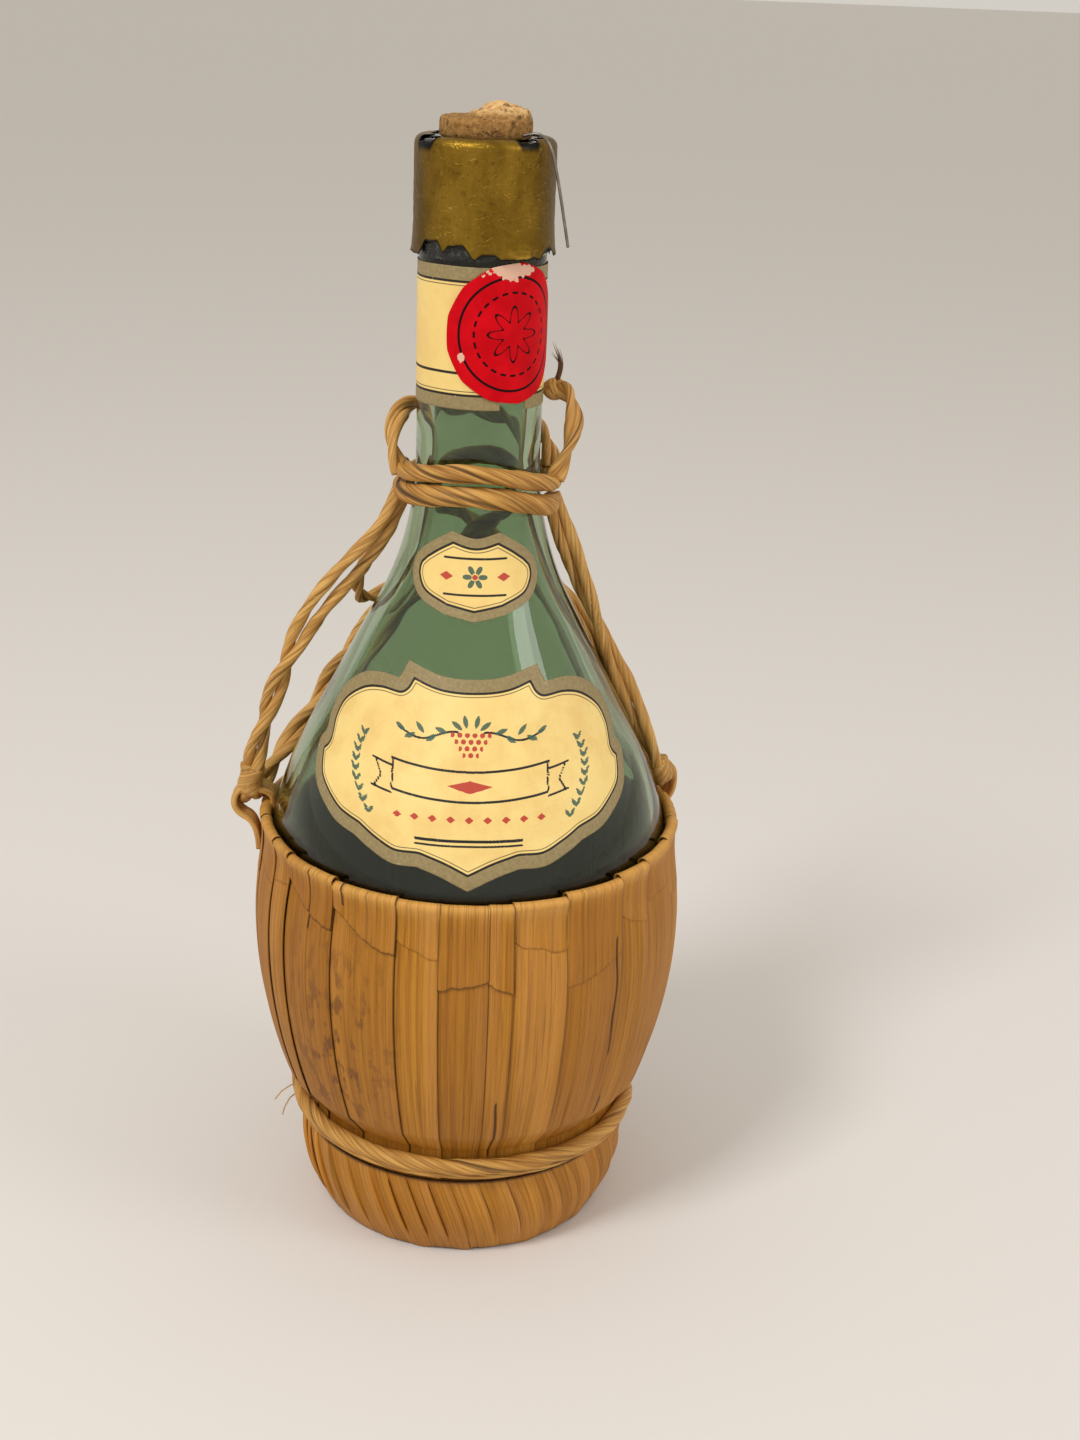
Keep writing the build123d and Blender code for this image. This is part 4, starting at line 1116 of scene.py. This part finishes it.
# The foot: pleated leaves are drawn down from the waist over the straw ring and tucked under it.
# They slant and lie over one another.
foot_middle = 18.5
foot_arc = 34.0
foot_width = 44.0
foot_fall = 26.0
foot_skin = 0.4
wraps = 12
top_rise = waist_height - 4.3 - leaf_gap - foot_middle
foot_centre = waist_radius - np.sqrt(foot_arc**2 - top_rise**2)
foot_straw = straw_finish("foot_straw", screen(212, 148, 50), screen(160, 100, 20), screen(52, 28, 8))
width = 360 / wraps
down = np.linspace(0, 1, 54)[:, None]
angle = np.arcsin(top_rise / foot_arc) * (1 - down) + np.arcsin((0.5 - foot_middle) / foot_arc) * down
slant = 9.0 * (down - 0.5) + 1.1 * np.sin(3 * down)
for number in range(wraps):
    pleats = 3 + number % 2
    side = np.linspace(0, 1, 24 * pleats + 1)
    at = together(side * radians(width) * foot_width, down * foot_fall, 900 + leaf_apart * number)
    saw = (side * pleats + 1e-6) % 1.0
    pleat = 1.25 * saw**1.2 - 0.5
    lift = pleat * np.sin(pi * unit(down * 1.25)) ** 0.5
    lift = lift + 0.14 * roughness(at * (1, 0.1, 1), 4.0, 440 + number, 3) - 0.45
    out = foot_arc + lift
    radius = foot_centre + out * np.cos(angle)
    height = foot_middle + out * np.sin(angle)
    edge_rag = 0.6 * roughness(at * (1, 0, 1), 10.0, 480 + number, 2) * down**6
    height = np.maximum(height + edge_rag, 0.25)
    points = ring_points(number * width + side * width + slant, radius, height)
    # Painted shade: dark lines in the steps between pleats, and along the top edge where the leaves go under
    # the waist cord.
    faint = unit(down * 6) * (0.45 + 0.3 * np.sin(down * 5 + number))
    dark = np.maximum(unit(1 - saw / 0.06) * faint, unit(1 - down / 0.05))
    # Each leaf's own tone, with painted light and shade across each pleat, paler at one side and deeper at
    # the other, and deeper towards the bottom.
    shade = 0.25 * (number % 3) + 0.5 * (0.5 - saw) + 0.3 * down
    made = grid(points, grain=at, edge=dark, stain=0.0, shade=shade)
    piece(f"foot_leaf_{number + 1:02d}", [made], foot_straw, skin=foot_skin, side=-1,
          replaces=[f"foot_wrap_{number + 1:02d}"])

foot_bore = 31.0
coil_pitch = 3.2
bevel = 1.5
ring_top = waist_height + 1.4
ring_side = foot_arc - leaf - leaf_gap
ring_edge = waist_radius - leaf - leaf_gap
bowl = cap_radius + leaf_gap
turn = np.linspace(np.arcsin(-foot_middle / ring_side), np.arcsin(top_rise / ring_side), 40)
ring_outer = np.stack([foot_centre + ring_side * np.cos(turn), foot_middle + ring_side * np.sin(turn)], -1)
turn = np.linspace(np.arccos((cap_height - ring_top) / bowl), np.arccos((cap_height - 21.35) / bowl), 16)
ring_bowl = np.stack([bowl * np.sin(turn), cap_height - bowl * np.cos(turn)], -1)
corners = np.concatenate([
    [(foot_bore + bevel, 0.0)], ring_outer,
    [(ring_edge, 24.3), (ring_edge, ring_top - bevel), (ring_edge - bevel, ring_top)],
    ring_bowl, [(foot_bore - bevel, foot_middle), (foot_bore + bevel, 0.0)],
])
ring_way = run_along(corners)
even = np.linspace(0, ring_way[-1], 150, endpoint=False)
section = np.stack([np.interp(even, ring_way, corners[:, k]) for k in range(2)], -1)
following = np.roll(section, -1, 0) - np.roll(section, 1, 0)
following /= np.linalg.norm(following, axis=1, keepdims=True)
azimuths = whole_turn(360)
closed = np.append(np.arange(len(section)), 0)
section, following = section[closed], following[closed]
rounds = (even[:, None] / coil_pitch + azimuths / 360)[closed]
coil = np.abs(np.sin(pi * rounds))
stitch = np.abs(np.sin(np.radians(30 * azimuths) + 1.2 * np.sin(pi * rounds)))
sunk = 0.4 * (1 - coil) ** 1.5 + 0.12 * (1 - stitch) ** 2
coil_points = ring_points(azimuths, section[:, :1] - sunk * following[:, 1:],
                          section[:, 1:] + sunk * following[:, :1])
# Painted shade in the grooves between the coils, as the edge value.
made = grid(coil_points, True, grain=together(coil_pitch * rounds, 0.6 * azimuths, 700),
            edge=unit(1 - coil / 0.25), stain=0.0, shade=0.5)
piece("foot_ring_straw", [made], foot_straw, replaces=["foot_ring"])


# The room: a pale round floor under a soft studio light, seen by a camera that looks slightly down.
floor_radius = 40
floor_turns = np.linspace(0, 2 * pi, 96, endpoint=False)
floor_points = [(floor_radius * cos(turn), floor_radius * sin(turn), 0.0) for turn in floor_turns]
floor_mesh = bpy.data.meshes.new("floor")
floor_mesh.from_pydata(floor_points, [], [list(range(96))])
floor_finish = Finish("floor_paper", Base_Color=screen(226, 222, 218), Roughness=0.9)
floor_mesh.materials.append(floor_finish.material)
floor = bpy.data.objects.new("floor", floor_mesh)
bpy.context.scene.collection.objects.link(floor)

world = bpy.data.worlds.new("studio")
bpy.context.scene.world = world
world.use_nodes = True
background = world.node_tree.nodes["Background"].inputs
background["Color"].default_value = screen(240, 234, 224)
background["Strength"].default_value = 0.75


def lamp(name, place, aim, size, watts):
    """A square area lamp that faces a point."""
    light = bpy.data.lights.new(name, "AREA")
    light.size = size
    light.energy = watts
    made = bpy.data.objects.new(name, light)
    made.location = place
    from_here = np.array(aim) - np.array(place)
    flat = float(np.hypot(from_here[0], from_here[1]))
    made.rotation_euler = (atan2(flat, -from_here[2]), 0, atan2(-from_here[0], from_here[1]))
    bpy.context.scene.collection.objects.link(made)


lamp("key", (-0.6, -0.7, 1.2), (0, 0, 0.14), 0.35, 9.0)
lamp("fill", (1.0, -0.5, 0.8), (0, 0, 0.14), 0.5, 3.0)

picture_height = 1440
focal_pixels = 2000
pitch = radians(20.42)
yaw = radians(2.09)
roll = radians(2.14)
camera_place = np.array([0, -480.0, 313.2])
ahead = np.array([sin(yaw) * cos(pitch), cos(yaw) * cos(pitch), -sin(pitch)])
right = np.array([cos(yaw), -sin(yaw), 0.0])
above = np.cross(right, ahead)
turned_right = cos(roll) * right + sin(roll) * above
turned_above = -sin(roll) * right + cos(roll) * above
columns = np.stack([turned_right, turned_above, -ahead, camera_place * mm], -1)
view = bpy.data.cameras.new("camera")
view.sensor_fit = "VERTICAL"
view.sensor_height = 24
view.lens = view.sensor_height * focal_pixels / picture_height
camera = bpy.data.objects.new("camera", view)
camera.matrix_world = Matrix(np.vstack([columns, (0, 0, 0, 1)]).tolist())
bpy.context.scene.collection.objects.link(camera)
bpy.context.scene.camera = camera
bpy.context.scene.view_settings.view_transform = "Standard"
